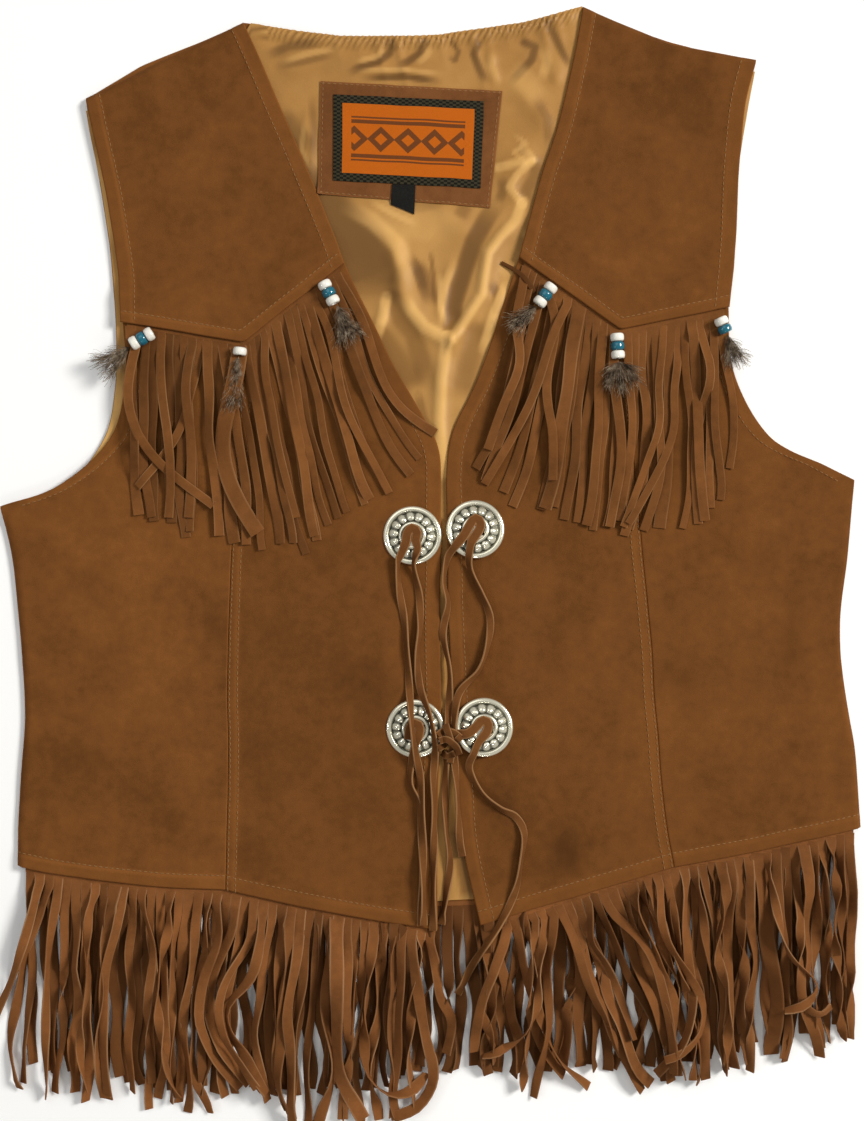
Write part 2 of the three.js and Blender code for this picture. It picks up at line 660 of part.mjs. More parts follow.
const patchLevel = liningLevel + thick.lining + gap;
const labelLevel = patchLevel + thick.patch + gap;
const tabLift = 1.2;
addNode('label_patch', patchGeometry(
  [[-78, 552.5], [40.5, 546], [32.5, 470], [-79.5, 479]], [8, 5], thick.patch,
  (x, y) => patchLevel + liningFold(x, y),
), suede);
addNode('label_woven', patchGeometry(
  [[-69.5, 543.5], [28.5, 539], [26.5, 482.5], [-69.5, 487.5]], [6, 4], thick.label,
  (x, y) => labelLevel + liningFold(x, y),
), wovenLabel);
addNode('size_tab', patchGeometry(
  [[-31, 485.1], [-16, 484.4], [-17, 465.5], [-32, 472]], [1, 2], thick.label,
  () => labelLevel + tabLift,
), blackTape);

// Conchos: domed silver discs with a raised rim and two slots for the lace
const conchos = [
  { name: 'upper_right', at: [-18, 256.5] },
  { name: 'upper_left', at: [23, 260.5] },
  { name: 'lower_right', at: [-16, 131] },
  { name: 'lower_left', at: [28.5, 132], tied: true },
];

function toManifold(geometry) {
  const plain = geometry.clone();
  for (const key of Object.keys(plain.attributes)) if (key !== 'position') plain.deleteAttribute(key);
  const merged = mergeVertices(plain, 1e-4);
  return new wasm.Manifold(new wasm.Mesh({
    numProp: 3,
    vertProperties: merged.attributes.position.array,
    triVerts: new Uint32Array(merged.index.array),
  }));
}

function toGeometry(manifold) {
  const mesh = manifold.getMesh();
  const geometry = new THREE.BufferGeometry();
  geometry.setAttribute('position', new THREE.BufferAttribute(new Float32Array(mesh.vertProperties), 3));
  geometry.setIndex(new THREE.BufferAttribute(new Uint32Array(mesh.triVerts), 1));
  geometry.computeVertexNormals();
  return geometry;
}

// The disc's half section: in is how far a point lies inside the rim
const conchoProfile = [
  { in: 0, height: 0 },
  { in: 0, height: 1.1 },
  { in: 1.2, height: 2.1 },
  { in: 3, height: 1.5 },
  { in: 7.6, height: 3.4 },
  { in: concho.diameter / 2, height: concho.height },
];

function conchoGeometry() {
  const radius = concho.diameter / 2;
  const profile = [[0, 0], ...conchoProfile.map((row) => [radius - row.in, row.height])];
  const line = profile.map(([r, z]) => new THREE.Vector2(r, z));
  let disc = toManifold(new THREE.LatheGeometry(line, 20).rotateX(Math.PI / 2));
  for (const side of [-1, 1]) {
    const slot = new THREE.BoxGeometry(concho.slotLong, concho.slotWide, 20);
    disc = disc.subtract(toManifold(slot.translate(side * concho.slotReach, 0, 0)));
  }
  return toGeometry(disc);
}

const conchoDiscs = conchos.map((row) => {
  const angles = evenly(12).map((v) => v * Math.PI * 2);
  const around = angles.flatMap((a) => [0.5, 1].map((r) => [
    row.at[0] + Math.cos(a) * r * concho.diameter / 2, row.at[1] + Math.sin(a) * r * concho.diameter / 2,
  ]));
  row.level = Math.max(...around.map(([x, y]) => heightOver([...fronts, backLining], x, y))) + gap;
  return addNode(`concho_${row.name}`, conchoGeometry().translate(...row.at, row.level), silver);
});

// Laces: flat thongs laid over whatever is below them, so later ones lie on earlier ones
class FlatLine extends THREE.CatmullRomCurve3 {
  computeFrenetFrames(segments) {
    const frames = { tangents: [], normals: [], binormals: [] };
    for (let i = 0; i <= segments; i += 1) {
      const tangent = this.getTangentAt(i / segments);
      const side = new THREE.Vector3(0, 0, 1).cross(tangent).normalize();
      frames.tangents.push(tangent);
      frames.normals.push(side);
      frames.binormals.push(tangent.clone().cross(side));
    }
    return frames;
  }
}

const laceCorner = 0.4;
const laceSpare = 0.6;

function laceGeometry(line, steps) {
  const [w, h, c] = [lace.width / 2, lace.thick / 2, laceCorner];
  const section = new THREE.Shape([
    [-w + c, -h], [w - c, -h], [w, -h + c], [w, h - c], [w - c, h], [-w + c, h], [-w, h - c], [-w, -h + c],
  ].map(([x, y]) => new THREE.Vector2(x, y)));
  return new THREE.ExtrudeGeometry(section, { steps, extrudePath: line, curveSegments: 1 });
}

function laidLace(name, plan, targets) {
  const flat = plan.map(([x, y]) => new THREE.Vector3(x, y, 0));
  const smooth = new THREE.CatmullRomCurve3(flat, false, 'centripetal');
  const count = Math.max(4, Math.round(smooth.getLength() / (lace.step / 2)));
  const along = smooth.getSpacedPoints(count).map((p) => [p.x, p.y]);
  const clear = along.map((p, i) => {
    const from = along[Math.max(0, i - 2)];
    const to = along[Math.min(count, i + 2)];
    return Math.max(
      heightUnderBand(targets, from, p, lace.width + laceSpare),
      heightUnderBand(targets, p, to, lace.width + laceSpare),
    );
  });
  const points = along.map(([x, y], i) => new THREE.Vector3(x, y, clear[i] + gap + lace.thick / 2));
  const line = new FlatLine(points, false, 'centripetal');
  const steps = Math.max(3, Math.round(line.getLength() / lace.step));
  return addNode(name, laceGeometry(line, steps), laceLeather);
}

// A loop over a concho's middle, its feet in the two slots. The lowest loop on the wearer's
// left runs on to the knot instead of into its first slot.
class ArchLine extends THREE.CatmullRomCurve3 {
  computeFrenetFrames(segments) {
    const frames = { tangents: [], normals: [], binormals: [] };
    const upright = new THREE.Vector3(0, 1, 0);
    for (let i = 0; i <= segments; i += 1) {
      const tangent = this.getTangentAt(i / segments);
      const side = upright.clone().addScaledVector(tangent, -upright.dot(tangent)).normalize();
      frames.tangents.push(tangent);
      frames.normals.push(side);
      frames.binormals.push(tangent.clone().cross(side));
    }
    return frames;
  }
}

const loop = { foot: 0.8, over: 1.6, turn: 2, crown: 0.55, knotGap: 0.7, knotHeight: 2.9 };
const tiedWay = { out: 10, height: 5, slope: 0.45 };

function loopLine(row) {
  const reach = concho.slotReach;
  const top = concho.height + loop.over;
  const crown = reach * loop.crown;
  const rightFoot = [[crown, top], [reach, top - loop.turn], [reach, loop.foot]];
  const leftFoot = [[-reach, loop.foot], [-reach, top - loop.turn], [-crown, top]];
  const knotSide = knot.at[0] + knot.half[0] + loop.knotGap - row.at[0];
  const toKnot = [[knotSide, loop.knotHeight], [-tiedWay.out, tiedWay.height], [-crown, top]];
  const start = row.tied ? toKnot : leftFoot;
  const points = [...start, ...rightFoot].map(([x, z]) => {
    const drop = row.tied ? Math.min(0, (x + reach) * tiedWay.slope) : 0;
    return new THREE.Vector3(row.at[0] + x, row.at[1] + drop, row.level + z);
  });
  return new ArchLine(points, false, 'centripetal');
}

const loops = conchos.map((row) => addNode(
  `lace_loop_${row.name}`, laceGeometry(loopLine(row), row.tied ? 10 : 8), laceLeather,
));

const cloth = [...fronts, ...hemFringes, backLining, back];
const knotBed = [...fronts, ...conchoDiscs, backLining];
const [knotX, knotY] = knot.at;
const knotBand = { from: [knotX, knotY - 6], to: [knotX, knotY + 3], width: 8 };
const knotUnder = heightUnderBand(knotBed, knotBand.from, knotBand.to, knotBand.width) + gap;
const knotBall = new THREE.SphereGeometry(1, 10, 7).scale(...knot.half);
knotBall.translate(knotX, knotY, knotUnder + knot.half[2]);
const laceBed = [...cloth, ...conchoDiscs, ...loops, addNode('lace_knot', knotBall, laceLeather)];

const laceRoutes = [
  {
    name: 'lower_right',
    plan: [[-16, 125.5], [-18, 112], [-19, 96], [-13, 80], [-12, 45], [-12.5, 3]],
  },
  {
    name: 'upper_right_outer',
    plan: [[-23, 251], [-27.5, 238], [-26.5, 221], [-23, 201], [-21, 179], [-19.5, 150], [-17, 123],
      [-12.5, 98], [-11, 71], [-11, 39], [-10.5, 4]],
  },
  {
    name: 'upper_right_inner',
    plan: [[-14, 251], [-19, 237], [-13.5, 218], [-13, 198], [-15, 179], [-13, 158], [-6.5, 140],
      [-3, 120], [-4.5, 98], [-4, 71], [-4, 32], [-4.5, 0]],
  },
  {
    name: 'upper_left_inner',
    plan: [[18, 255], [7, 242], [3, 224], [5, 205], [3, 185], [6, 166], [4, 131.8]],
  },
  {
    name: 'upper_left_outer',
    plan: [[28, 255], [20, 236], [26, 219], [32.5, 203], [32.5, 185], [26, 169], [15, 155], [9.8, 131.8]],
  },
  { name: 'knot_right', plan: [[4.2, 112.4], [3.5, 91], [4, 65], [6.5, 45], [4.5, 26], [1, 3]] },
  { name: 'knot_left', plan: [[9.6, 112.4], [11, 91], [12.5, 62], [14.5, 48]] },
  {
    name: 'lower_left',
    plan: [[31, 126], [22, 116], [16.5, 105], [27, 90], [39, 79.5], [49, 74], [54.5, 63], [52.5, 45],
      [49, 26], [39, 5], [26, -13], [11.5, -42]],
  },
];
for (const route of laceRoutes) laceBed.push(laidLace(`lace_${route.name}`, route.plan, laceBed));

// Dangles under the yokes: beads in a row from the first one's middle, w white and b blue,
// and then a tuft of feather. Both ways are angles from +x in degrees.
const dangles = [
  { name: 'right_inner', at: [-74.5, 418.5], way: -63, beads: 'wbw', tuft: { way: -68, long: 22, wide: 10 } },
  { name: 'right_point', at: [-129.5, 375.5], way: -96, beads: 'w', tuft: { way: -96, long: 31, wide: 6 } },
  {
    name: 'right_outer', at: [-188, 386.5], way: -150, beads: 'wbw',
    tuft: { way: -139, long: 20, wide: 11 },
  },
  { name: 'left_inner', at: [71.5, 416.5], way: -127, beads: 'wbw', tuft: { way: -139, long: 18, wide: 8 } },
  { name: 'left_point', at: [114.5, 384.5], way: -87, beads: 'wbw', tuft: { way: -83, long: 18, wide: 18 } },
  { name: 'left_outer', at: [182, 395], way: -66, beads: 'wb', tuft: { way: -72, long: 16, wide: 7 } },
];
const tuftFlat = 0.36;
const tuftGap = 0.7;

function beadGeometry() {
  const [r, half] = [bead.diameter / 2, bead.length / 2];
  const [mouth, shoulder] = [r * 0.78, half * 0.45];
  const profile = [[0, -half], [mouth, -half], [r, -shoulder], [r, shoulder], [mouth, half], [0, half]];
  return new THREE.LatheGeometry(profile.map(([x, y]) => new THREE.Vector2(x, y)), 8);
}

function tuftGeometry(long, wide) {
  const profile = [[0, 0], [0.12, 0.02], [0.55, 0.35], [1, 0.7], [0.6, 0.93], [0, 1]];
  const line = profile.map(([x, y]) => new THREE.Vector2(x * wide / 2, y * long));
  return new THREE.LatheGeometry(line, 8).scale(1, 1, tuftFlat);
}

// A point at a distance from another one, at an angle from +x in degrees
function onward([x, y], degrees, far) {
  const angle = THREE.MathUtils.degToRad(degrees);
  return [x + Math.cos(angle) * far, y + Math.sin(angle) * far];
}

// The lowest height at which a round body along a line clears the targets
function heightUnderBody(targets, from, to, radius) {
  const long = distance(from, to);
  const side = [(from[1] - to[1]) / long, (to[0] - from[0]) / long];
  return Math.max(...evenly(4).flatMap((v) => [-0.95, -0.6, 0, 0.6, 0.95].map((k) => {
    const [x, y] = mix(from, to, v);
    const reach = radius * k;
    const below = heightOver(targets, x + side[0] * reach, y + side[1] * reach);
    return below + Math.sqrt(radius ** 2 - reach ** 2);
  }))) + gap;
}

const dangleBed = [...fronts, ...yokes, ...yokeFringes];
const uprightTurn = (degrees) => THREE.MathUtils.degToRad(degrees - 90);
for (const row of dangles) {
  const step = bead.length + gap;
  const at = (far) => onward(row.at, row.way, far);
  const last = step * (row.beads.length - 1) + bead.length / 2;
  const z = heightUnderBody(dangleBed, at(-bead.length / 2), at(last), bead.diameter / 2);
  [...row.beads].forEach((colour, i) => {
    const geometry = beadGeometry().rotateZ(uprightTurn(row.way)).translate(...at(step * i), z);
    addNode(`bead_${row.name}_${i + 1}`, geometry, colour === 'w' ? whiteBead : blueBead);
  });
  const { way, long, wide } = row.tuft;
  const start = at(last + tuftGap);
  const under = heightUnderBand(dangleBed, start, onward(start, way, long), wide) + gap;
  const tuft = tuftGeometry(long, wide).rotateZ(uprightTurn(way));
  addNode(`tuft_${row.name}`, tuft.translate(...start, under + wide * tuftFlat / 2), feather);
}

// The whole vest stands with the middle of its outline over the origin
const outline = new THREE.Box3().setFromObject(vest);
const middle = outline.getCenter(new THREE.Vector3());
vest.position.set(-middle.x, -middle.y, -outline.min.z);
vest.updateMatrixWorld(true);

export default vest;
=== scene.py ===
import math
import bpy
import numpy as np
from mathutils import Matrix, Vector
from mathutils.bvhtree import BVHTree


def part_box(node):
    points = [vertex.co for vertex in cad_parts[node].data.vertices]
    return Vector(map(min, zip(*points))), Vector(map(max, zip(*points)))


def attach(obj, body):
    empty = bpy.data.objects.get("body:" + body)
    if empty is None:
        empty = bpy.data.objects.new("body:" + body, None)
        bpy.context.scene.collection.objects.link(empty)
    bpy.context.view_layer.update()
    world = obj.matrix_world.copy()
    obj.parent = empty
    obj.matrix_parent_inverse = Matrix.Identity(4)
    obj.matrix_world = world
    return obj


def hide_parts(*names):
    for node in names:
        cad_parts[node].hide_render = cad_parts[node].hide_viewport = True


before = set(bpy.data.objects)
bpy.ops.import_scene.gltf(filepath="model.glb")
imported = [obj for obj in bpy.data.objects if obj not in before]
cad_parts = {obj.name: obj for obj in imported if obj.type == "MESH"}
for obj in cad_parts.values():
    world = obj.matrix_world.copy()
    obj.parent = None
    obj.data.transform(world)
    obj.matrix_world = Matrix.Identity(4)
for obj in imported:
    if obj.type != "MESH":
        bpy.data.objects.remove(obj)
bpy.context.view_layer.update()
print("frame loaded")

# The tables below count x from the centre front and y from the fronts' lowest corner, in millimetres
patchEdges = {"left": -79.5, "top": 552.5}
patchLow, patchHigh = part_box("label_patch")
shift = np.array([patchLow.x * 1000 - patchEdges["left"], patchHigh.y * 1000 - patchEdges["top"], 0.0])


def metres(points):
    return (np.asarray(points, float) + shift) * 0.001


# Camera, floor and light
studio = {
    "over": (-5.2, 240.2), "height": 1018, "lens": 50, "film": 36,
    "floor": 4.0, "world": 0.30,
    "lamps": [
        {"name": "keyLamp", "at": (2.1, 0.8, 1.9), "size": 0.8, "power": 86, "tint": (1.0, 0.985, 0.95)},
        {"name": "topLamp", "at": (-0.5, 0.9, 1.6), "size": 1.4, "power": 6, "tint": (1.0, 1.0, 1.0)},
        {"name": "sideLamp", "at": (-1.1, -0.2, 0.9), "size": 0.1, "power": 1.6, "tint": (0.92, 0.96, 1.0)},
        {"name": "lowLamp", "at": (0.2, -1.2, 1.0), "size": 0.1, "power": 2.0, "tint": (1.0, 0.97, 0.9)},
    ],
}


def makeStudio(make):
    scene = bpy.context.scene
    lens = bpy.data.cameras.new("camera")
    lens.sensor_fit = "VERTICAL"
    lens.sensor_height = make["film"]
    lens.lens = make["lens"]
    camera = bpy.data.objects.new("camera", lens)
    camera.location = (*metres((*make["over"], 0))[:2], make["height"] * 0.001)
    scene.collection.objects.link(camera)
    scene.camera = camera
    scene.view_settings.view_transform = "Standard"
    world = bpy.data.worlds.new("paleRoom")
    world.use_nodes = True
    world.node_tree.nodes["Background"].inputs["Color"].default_value = (1, 1, 1, 1)
    world.node_tree.nodes["Background"].inputs["Strength"].default_value = make["world"]
    scene.world = world
    for row in make["lamps"]:
        lamp = bpy.data.lights.new(row["name"], "AREA")
        lamp.size, lamp.energy, lamp.color = row["size"], row["power"], row["tint"]
        holder = bpy.data.objects.new(row["name"], lamp)
        holder.location = row["at"]
        holder.rotation_euler = (-Vector(row["at"])).to_track_quat("-Z", "Y").to_euler()
        scene.collection.objects.link(holder)


makeStudio(studio)
print("studio ready")


# Shader maths
class Wire:  # a node's output that can stand in a sum
    def __init__(self, finish, socket):
        self.finish, self.socket = finish, socket

    def __add__(self, other):
        return self.finish.math("ADD", self, other)

    def __radd__(self, other):
        return self.finish.math("ADD", other, self)

    def __sub__(self, other):
        return self.finish.math("SUBTRACT", self, other)

    def __rsub__(self, other):
        return self.finish.math("SUBTRACT", other, self)

    def __mul__(self, other):
        return self.finish.math("MULTIPLY", self, other)

    def __rmul__(self, other):
        return self.finish.math("MULTIPLY", other, self)


class Finish:  # one material and the ways to add its nodes
    def __init__(self, name):
        self.material = bpy.data.materials.new(name)
        self.material.use_nodes = True
        self.tree = self.material.node_tree
        self.tree.nodes.clear()

    def node(self, kind, settings=None, sockets=None, out=0):
        made = self.tree.nodes.new(kind)
        for key, value in (settings or {}).items():
            if key == "stops":
                ramp = made.color_ramp
                while len(ramp.elements) < len(value):
                    ramp.elements.new(0.5)
                for element, (place, colour) in zip(ramp.elements, value):
                    element.position, element.color = place, colour
            else:
                setattr(made, key, value)
        for key, value in (sockets or {}).items():
            if isinstance(value, Wire):
                self.tree.links.new(value.socket, made.inputs[key])
            else:
                made.inputs[key].default_value = value
        return Wire(self, made.outputs[out]) if len(made.outputs) else None

    def math(self, operation, a, b):
        return self.node("ShaderNodeMath", {"operation": operation}, {0: a, 1: b})

    def limit(self, value):
        return self.node("ShaderNodeClamp", {}, {0: value})

    def place(self, stretch=(1, 1, 1), turn=0.0, centre=(0, 0, 0)):
        where = self.node("ShaderNodeTexCoord", out=3)
        return self.node("ShaderNodeMapping", {}, {
            "Vector": where, "Location": centre, "Rotation": (0, 0, turn), "Scale": stretch})

    def noise(self, where, scale, detail=2.0, rough=0.5, bend=0.0):
        return self.node("ShaderNodeTexNoise", {}, {
            "Vector": where, "Scale": scale, "Detail": detail, "Roughness": rough, "Distortion": bend})

    def own(self, name):
        return self.node("ShaderNodeAttribute", {"attribute_name": name}, {}, out=2)

    def mix(self, a, b, factor):
        return self.node("ShaderNodeMix", {"data_type": "RGBA"}, {0: factor, 6: a, 7: b}, out=2)

    def ramp(self, value, stops):
        return self.node("ShaderNodeValToRGB", {"stops": stops}, {0: value})

    def bump(self, height, strength, far):
        return self.node("ShaderNodeBump", {}, {"Strength": strength, "Distance": far, "Height": height})

    def close(self, sockets):
        shader = self.node("ShaderNodeBsdfPrincipled", {}, sockets)
        self.node("ShaderNodeOutputMaterial", {}, {"Surface": shader})
        return self.material


def tone(colour, share):
    return tuple(min(1.0, value * share) for value in colour[:3]) + (1.0,)


suede = {
    "colour": (0.150, 0.0545, 0.0128), "brush": (11, 5, 8), "patches": 26, "mottle": 140, "nap": 1500,
    "dark": 0.66, "light": 1.3, "worn": 1.5, "shaded": 0.4, "bump": 0.4, "deep": 0.0008,
}


def suedeFinish(name, base, seed, worn=None):
    finish = Finish(name)
    where = finish.place(centre=(seed, seed * 0.7, 0))
    brushed = finish.noise(finish.place(suede["brush"], 0.35, (seed, 0, 0)), 1.0, 4, 0.55, 0.8)
    patches = finish.noise(where, suede["patches"], 3, 0.55, 0.4)
    mottle = finish.noise(where, suede["mottle"], 3, 0.6)
    nap = finish.noise(where, suede["nap"], 2, 0.6)
    shade = brushed * 0.34 + patches * 0.3 + mottle * 0.24 + nap * 0.12
    cloth = finish.ramp(shade, [
        (0.36, tone(base, suede["dark"])), (0.5, tone(base, 1.0)), (0.64, tone(base, suede["light"]))])
    edge = finish.own("wear") * (0.7 + nap * 0.6)
    colour = finish.mix(cloth, worn or tone(base, suede["worn"]), finish.limit(edge))
    # The shade attribute darkens stains on the panels and random strands, and is painted shade on lower fringe
    # strands, the back fringe and a tail
    colour = finish.mix(colour, tone(base, suede["shaded"]), finish.limit(finish.own("shade")))
    height = nap * 0.5 + mottle * 0.7 + patches * 0.5
    return finish.close({
        "Base Color": colour, "Roughness": 0.84 + mottle * 0.14,
        "Normal": finish.bump(height, suede["bump"], suede["deep"]),
        "Sheen Weight": 0.03, "Sheen Roughness": 0.5, "Sheen Tint": tone(base, 3),
        "Specular IOR Level": 0.06})


# Each panel's suede: its share of the colour above, and a seed
suedes = {
    "suedeBack": (0.95, 1.1), "suedeRight": (1.06, 2.3), "suedeCentre": (0.93, 5.3), "suedeLeft": (0.91, 3.7),
    "suedeYokeRight": (0.95, 4.9), "suedeYokeLeft": (0.87, 9.2),
}
finishes = {}
for name, (share, seed) in suedes.items():
    finishes[name] = suedeFinish(name, tone(suede["colour"], share), seed)
finishes["suedePatch"] = suedeFinish("suedePatch", (0.155, 0.058, 0.018, 1), 6.1)
paleEdge = (0.28, 0.140, 0.058, 1)
finishes["strandSuede"] = suedeFinish("strandSuede", (0.201, 0.0745, 0.0222, 1), 7.3, (0.34, 0.187, 0.090, 1))
finishes["yokeStrand"] = suedeFinish("yokeStrand", (0.167, 0.0625, 0.0172, 1), 2.9, paleEdge)
finishes["thongSuede"] = suedeFinish("thongSuede", (0.142, 0.0535, 0.0150, 1), 8.7, paleEdge)

# Satin colours: dull, plain and bright are painted sheen; the dark trough colour is painted shade and the crest
# colour a painted highlight
satin = {
    "dull": (0.325, 0.156, 0.039, 1), "plain": (0.375, 0.184, 0.047, 1), "bright": (0.43, 0.216, 0.058, 1),
    "troughShade": (0.160, 0.074, 0.019, 1), "crestHighlight": (0.66, 0.375, 0.118, 1),
}


def satinFinish(make):
    finish = Finish("goldSatin")
    where = finish.place()
    weave = finish.noise(finish.place((2600, 900, 900)), 1.0, 1, 0.5)
    shine = finish.noise(where, 22, 3, 0.5, 0.6)
    crumple = finish.noise(where, 120, 3, 0.55, 0.5)
    # Painted sheen: the shine noise lightens and darkens the satin in broad patches
    colour = finish.ramp(shine * 0.7 + weave * 0.3, [
        (0.3, make["dull"]), (0.55, make["plain"]), (0.8, make["bright"])])
    # Painted shade and painted highlights laid on the lining, stroke by stroke
    colour = finish.mix(colour, make["troughShade"], finish.limit(finish.own("shade")))
    colour = finish.mix(colour, make["crestHighlight"], finish.limit(finish.own("wear")))
    return finish.close({
        "Base Color": colour, "Roughness": 0.42 + weave * 0.1, "Specular IOR Level": 0.14,
        "Normal": finish.bump(weave * 0.3 + crumple, 0.16, 0.0012)})


def threadFinish(name, base):
    finish = Finish(name)
    twist = finish.node("ShaderNodeTexWave", {"wave_type": "BANDS"}, {
        "Vector": finish.place((1, 1, 1), 0.6), "Scale": 900, "Distortion": 2.0})
    colour = finish.mix(tone(base, 0.7), tone(base, 1.25), twist)
    return finish.close({
        "Base Color": colour, "Roughness": 0.8, "Specular IOR Level": 0.1,
        "Normal": finish.bump(twist, 0.4, 0.0002)})


silver = {"bright": (1.0, 0.95, 0.74, 1), "tarnishAndShade": (0.028, 0.027, 0.013, 1), "metallic": 0.78}


def silverFinish(make):
    finish = Finish("stampedSilver")
    scratch = finish.noise(finish.place((300, 2600, 900), 0.5), 1.0, 2, 0.6)
    cloud = finish.noise(finish.place(), 260, 3, 0.6)
    # Tarnish in the grooves, painted shade in the lace slots
    dark = finish.limit(finish.own("shade") * 1.1)
    colour = finish.mix(make["bright"], make["tarnishAndShade"], dark)
    return finish.close({
        "Base Color": colour, "Metallic": make["metallic"],
        "Roughness": 0.11 + scratch * 0.08 + cloud * 0.06 + dark * 0.3,
        "Normal": finish.bump(scratch * 0.3 + cloud, 0.08, 0.0003)})


def glassFinish(name, base):
    finish = Finish(name)
    cloud = finish.noise(finish.place(), 420, 3, 0.6)
    colour = finish.mix(tone(base, 0.82), tone(base, 1.12), cloud)
    return finish.close({
        "Base Color": colour, "Roughness": 0.12 + cloud * 0.14, "Coat Weight": 0.5,
        "Normal": finish.bump(cloud, 0.05, 0.0004)})


def downFinish():
    finish = Finish("featherDown")
    cloud = finish.noise(finish.place(), 260, 3, 0.6)
    colour = finish.ramp(cloud, [
        (0.32, (0.048, 0.034, 0.021, 1)), (0.48, (0.17, 0.122, 0.080, 1)), (0.68, (0.43, 0.34, 0.24, 1))])
    return finish.close({"Base Color": colour, "Roughness": 0.95, "Specular IOR Level": 0.1})


# The label's plain pattern, in shares of its width and height
pattern = {
    "across": (0.06, 0.94), "down": (0.095, 0.905), "band": (0.12, 0.88), "step": 0.09, "steep": 1.6,
    "diamond": 0.15, "heart": 0.07, "rule": (0.2, 0.022), "fine": (0.25, 0.01),
}


def labelFinish(make):
    finish = Finish("wovenLabel")
    across = finish.node("ShaderNodeUVMap", {"uv_map": "cut"})
    u = finish.node("ShaderNodeSeparateXYZ", {}, {0: across}, out=0)
    v = finish.node("ShaderNodeSeparateXYZ", {}, {0: across}, out=1)

    def under(value, high):
        return finish.math("LESS_THAN", value, high)

    def inside(value, span):
        return finish.math("GREATER_THAN", value, span[0]) * under(value, span[1])

    def folded(value, middle):
        return finish.math("ABSOLUTE", value - middle, 0.0)

    field = inside(u, make["across"]) * inside(v, make["down"])
    step = finish.math("PINGPONG", u - 0.5, make["step"])
    far = folded(v, 0.5)
    diamond = under(step * make["steep"] + far, make["diamond"])
    heart = under(step * make["steep"] + far, make["heart"])
    rule, fine = (under(folded(far, at), half) for at, half in (make["rule"], make["fine"]))
    drawn = finish.limit(diamond - heart + rule + fine) * inside(u, make["band"])
    weft = finish.node("ShaderNodeTexWave", {"wave_type": "BANDS", "bands_direction": "Y"}, {
        "Vector": finish.place(turn=0.05), "Scale": 420, "Distortion": 0.5})
    thread = finish.noise(finish.place((3000, 900, 900)), 1.0, 2, 0.6)
    orange = finish.mix((0.39, 0.082, 0.0045, 1), (0.53, 0.122, 0.007, 1), thread)
    dots = finish.node("ShaderNodeTexChecker", {}, {"Vector": across, "Scale": 44.0}, out=1)
    dark = finish.mix((0.004, 0.004, 0.003, 1), (0.060, 0.050, 0.026, 1), thread * 0.15 + dots * 0.55)
    brown = finish.mix((0.10, 0.028, 0.008, 1), (0.17, 0.055, 0.014, 1), thread)
    colour = finish.mix(dark, finish.mix(orange, brown, drawn), field)
    return finish.close({
        "Base Color": colour, "Roughness": 0.7 + thread * 0.15, "Specular IOR Level": 0.08,
        "Normal": finish.bump(weft + thread * 0.4 + drawn * 0.6, 0.3, 0.0004)})


def tapeFinish():
    finish = Finish("blackTape")
    weft = finish.node("ShaderNodeTexWave", {"wave_type": "BANDS", "bands_direction": "Y"}, {
        "Vector": finish.place(turn=0.1), "Scale": 500})
    cloud = finish.noise(finish.place(), 900, 2, 0.6)
    colour = finish.mix((0.004, 0.004, 0.004, 1), (0.022, 0.021, 0.018, 1), cloud)
    return finish.close({
        "Base Color": colour, "Roughness": 0.85, "Specular IOR Level": 0.05,
        "Normal": finish.bump(weft + cloud, 0.35, 0.0003)})


def floorFinish():
    finish = Finish("paleFloor")
    cloud = finish.noise(finish.place(), 3, 2, 0.5)
    colour = finish.mix((0.93, 0.925, 0.91, 1), (0.97, 0.965, 0.955, 1), cloud)
    return finish.close({"Base Color": colour, "Roughness": 0.9})


finishes["satin"] = satinFinish(satin)
finishes["thread"] = threadFinish("tanThread", (0.25, 0.125, 0.046, 1))
finishes["silver"] = silverFinish(silver)
finishes["white"] = glassFinish("whiteGlass", (0.80, 0.77, 0.68, 1))
finishes["turquoise"] = glassFinish("turquoiseGlass", (0.004, 0.118, 0.168, 1))
finishes["down"] = downFinish()
finishes["label"] = labelFinish(pattern)
finishes["tape"] = tapeFinish()
print("materials ready")


# Small maths
def table(names, rows):  # rows of values under named columns; a dictionary at a row's end adds to it
    names = names.split()
    return [{**dict(zip(names, row)), **(row[-1] if len(row) > len(names) else {})} for row in rows]


def blend(a, b, t):
    return a + (b - a) * t


def ease(t):
    c = np.clip(t, 0, 1)
    return c * c * (3 - 2 * c)


def chance(n):
    v = math.sin(n * 12.9898 + 4.1414) * 43758.5453
    return v - math.floor(v)


def softNoise(x, y, size, seed):
    u, v = x / size + seed * 17.3, y / size - seed * 9.1
    i, j = np.floor(u), np.floor(v)
    f, g = ease(u - i), ease(v - j)

    def corner(a, b):
        n = np.sin((i + a) * 127.1 + (j + b) * 311.7 + seed * 74.7) * 43758.5453
        return n - np.floor(n)
    low = blend(corner(0, 0), corner(1, 0), f)
    high = blend(corner(0, 1), corner(1, 1), f)
    return blend(low, high, g) * 2 - 1


def curveThrough(a, b, c, d, t):
    rise, fall = (c - a) / 2, (d - b) / 2
    h, k = t * t, t * t * t
    return (2 * k - 3 * h + 1) * b + (k - 2 * h + t) * rise + (3 * h - 2 * k) * c + (k - h) * fall


def readTable(rows, t):
    i = min(int(t), len(rows) - 2)
    here, after = rows[i], rows[i + 1]
    before = rows[i - 1] if i > 0 and not here.get("corner") else None
    beyond = rows[i + 2] if i < len(rows) - 2 and not after.get("corner") else None
    result = {}
    for key in here:
        if key == "corner":
            continue
        b, c = np.array(here[key], float), np.array(after[key], float)
        a = np.array(before[key], float) if before else 2 * b - c
        d = np.array(beyond[key], float) if beyond else 2 * c - b
        result[key] = curveThrough(a, b, c, d, t - i)
    return result


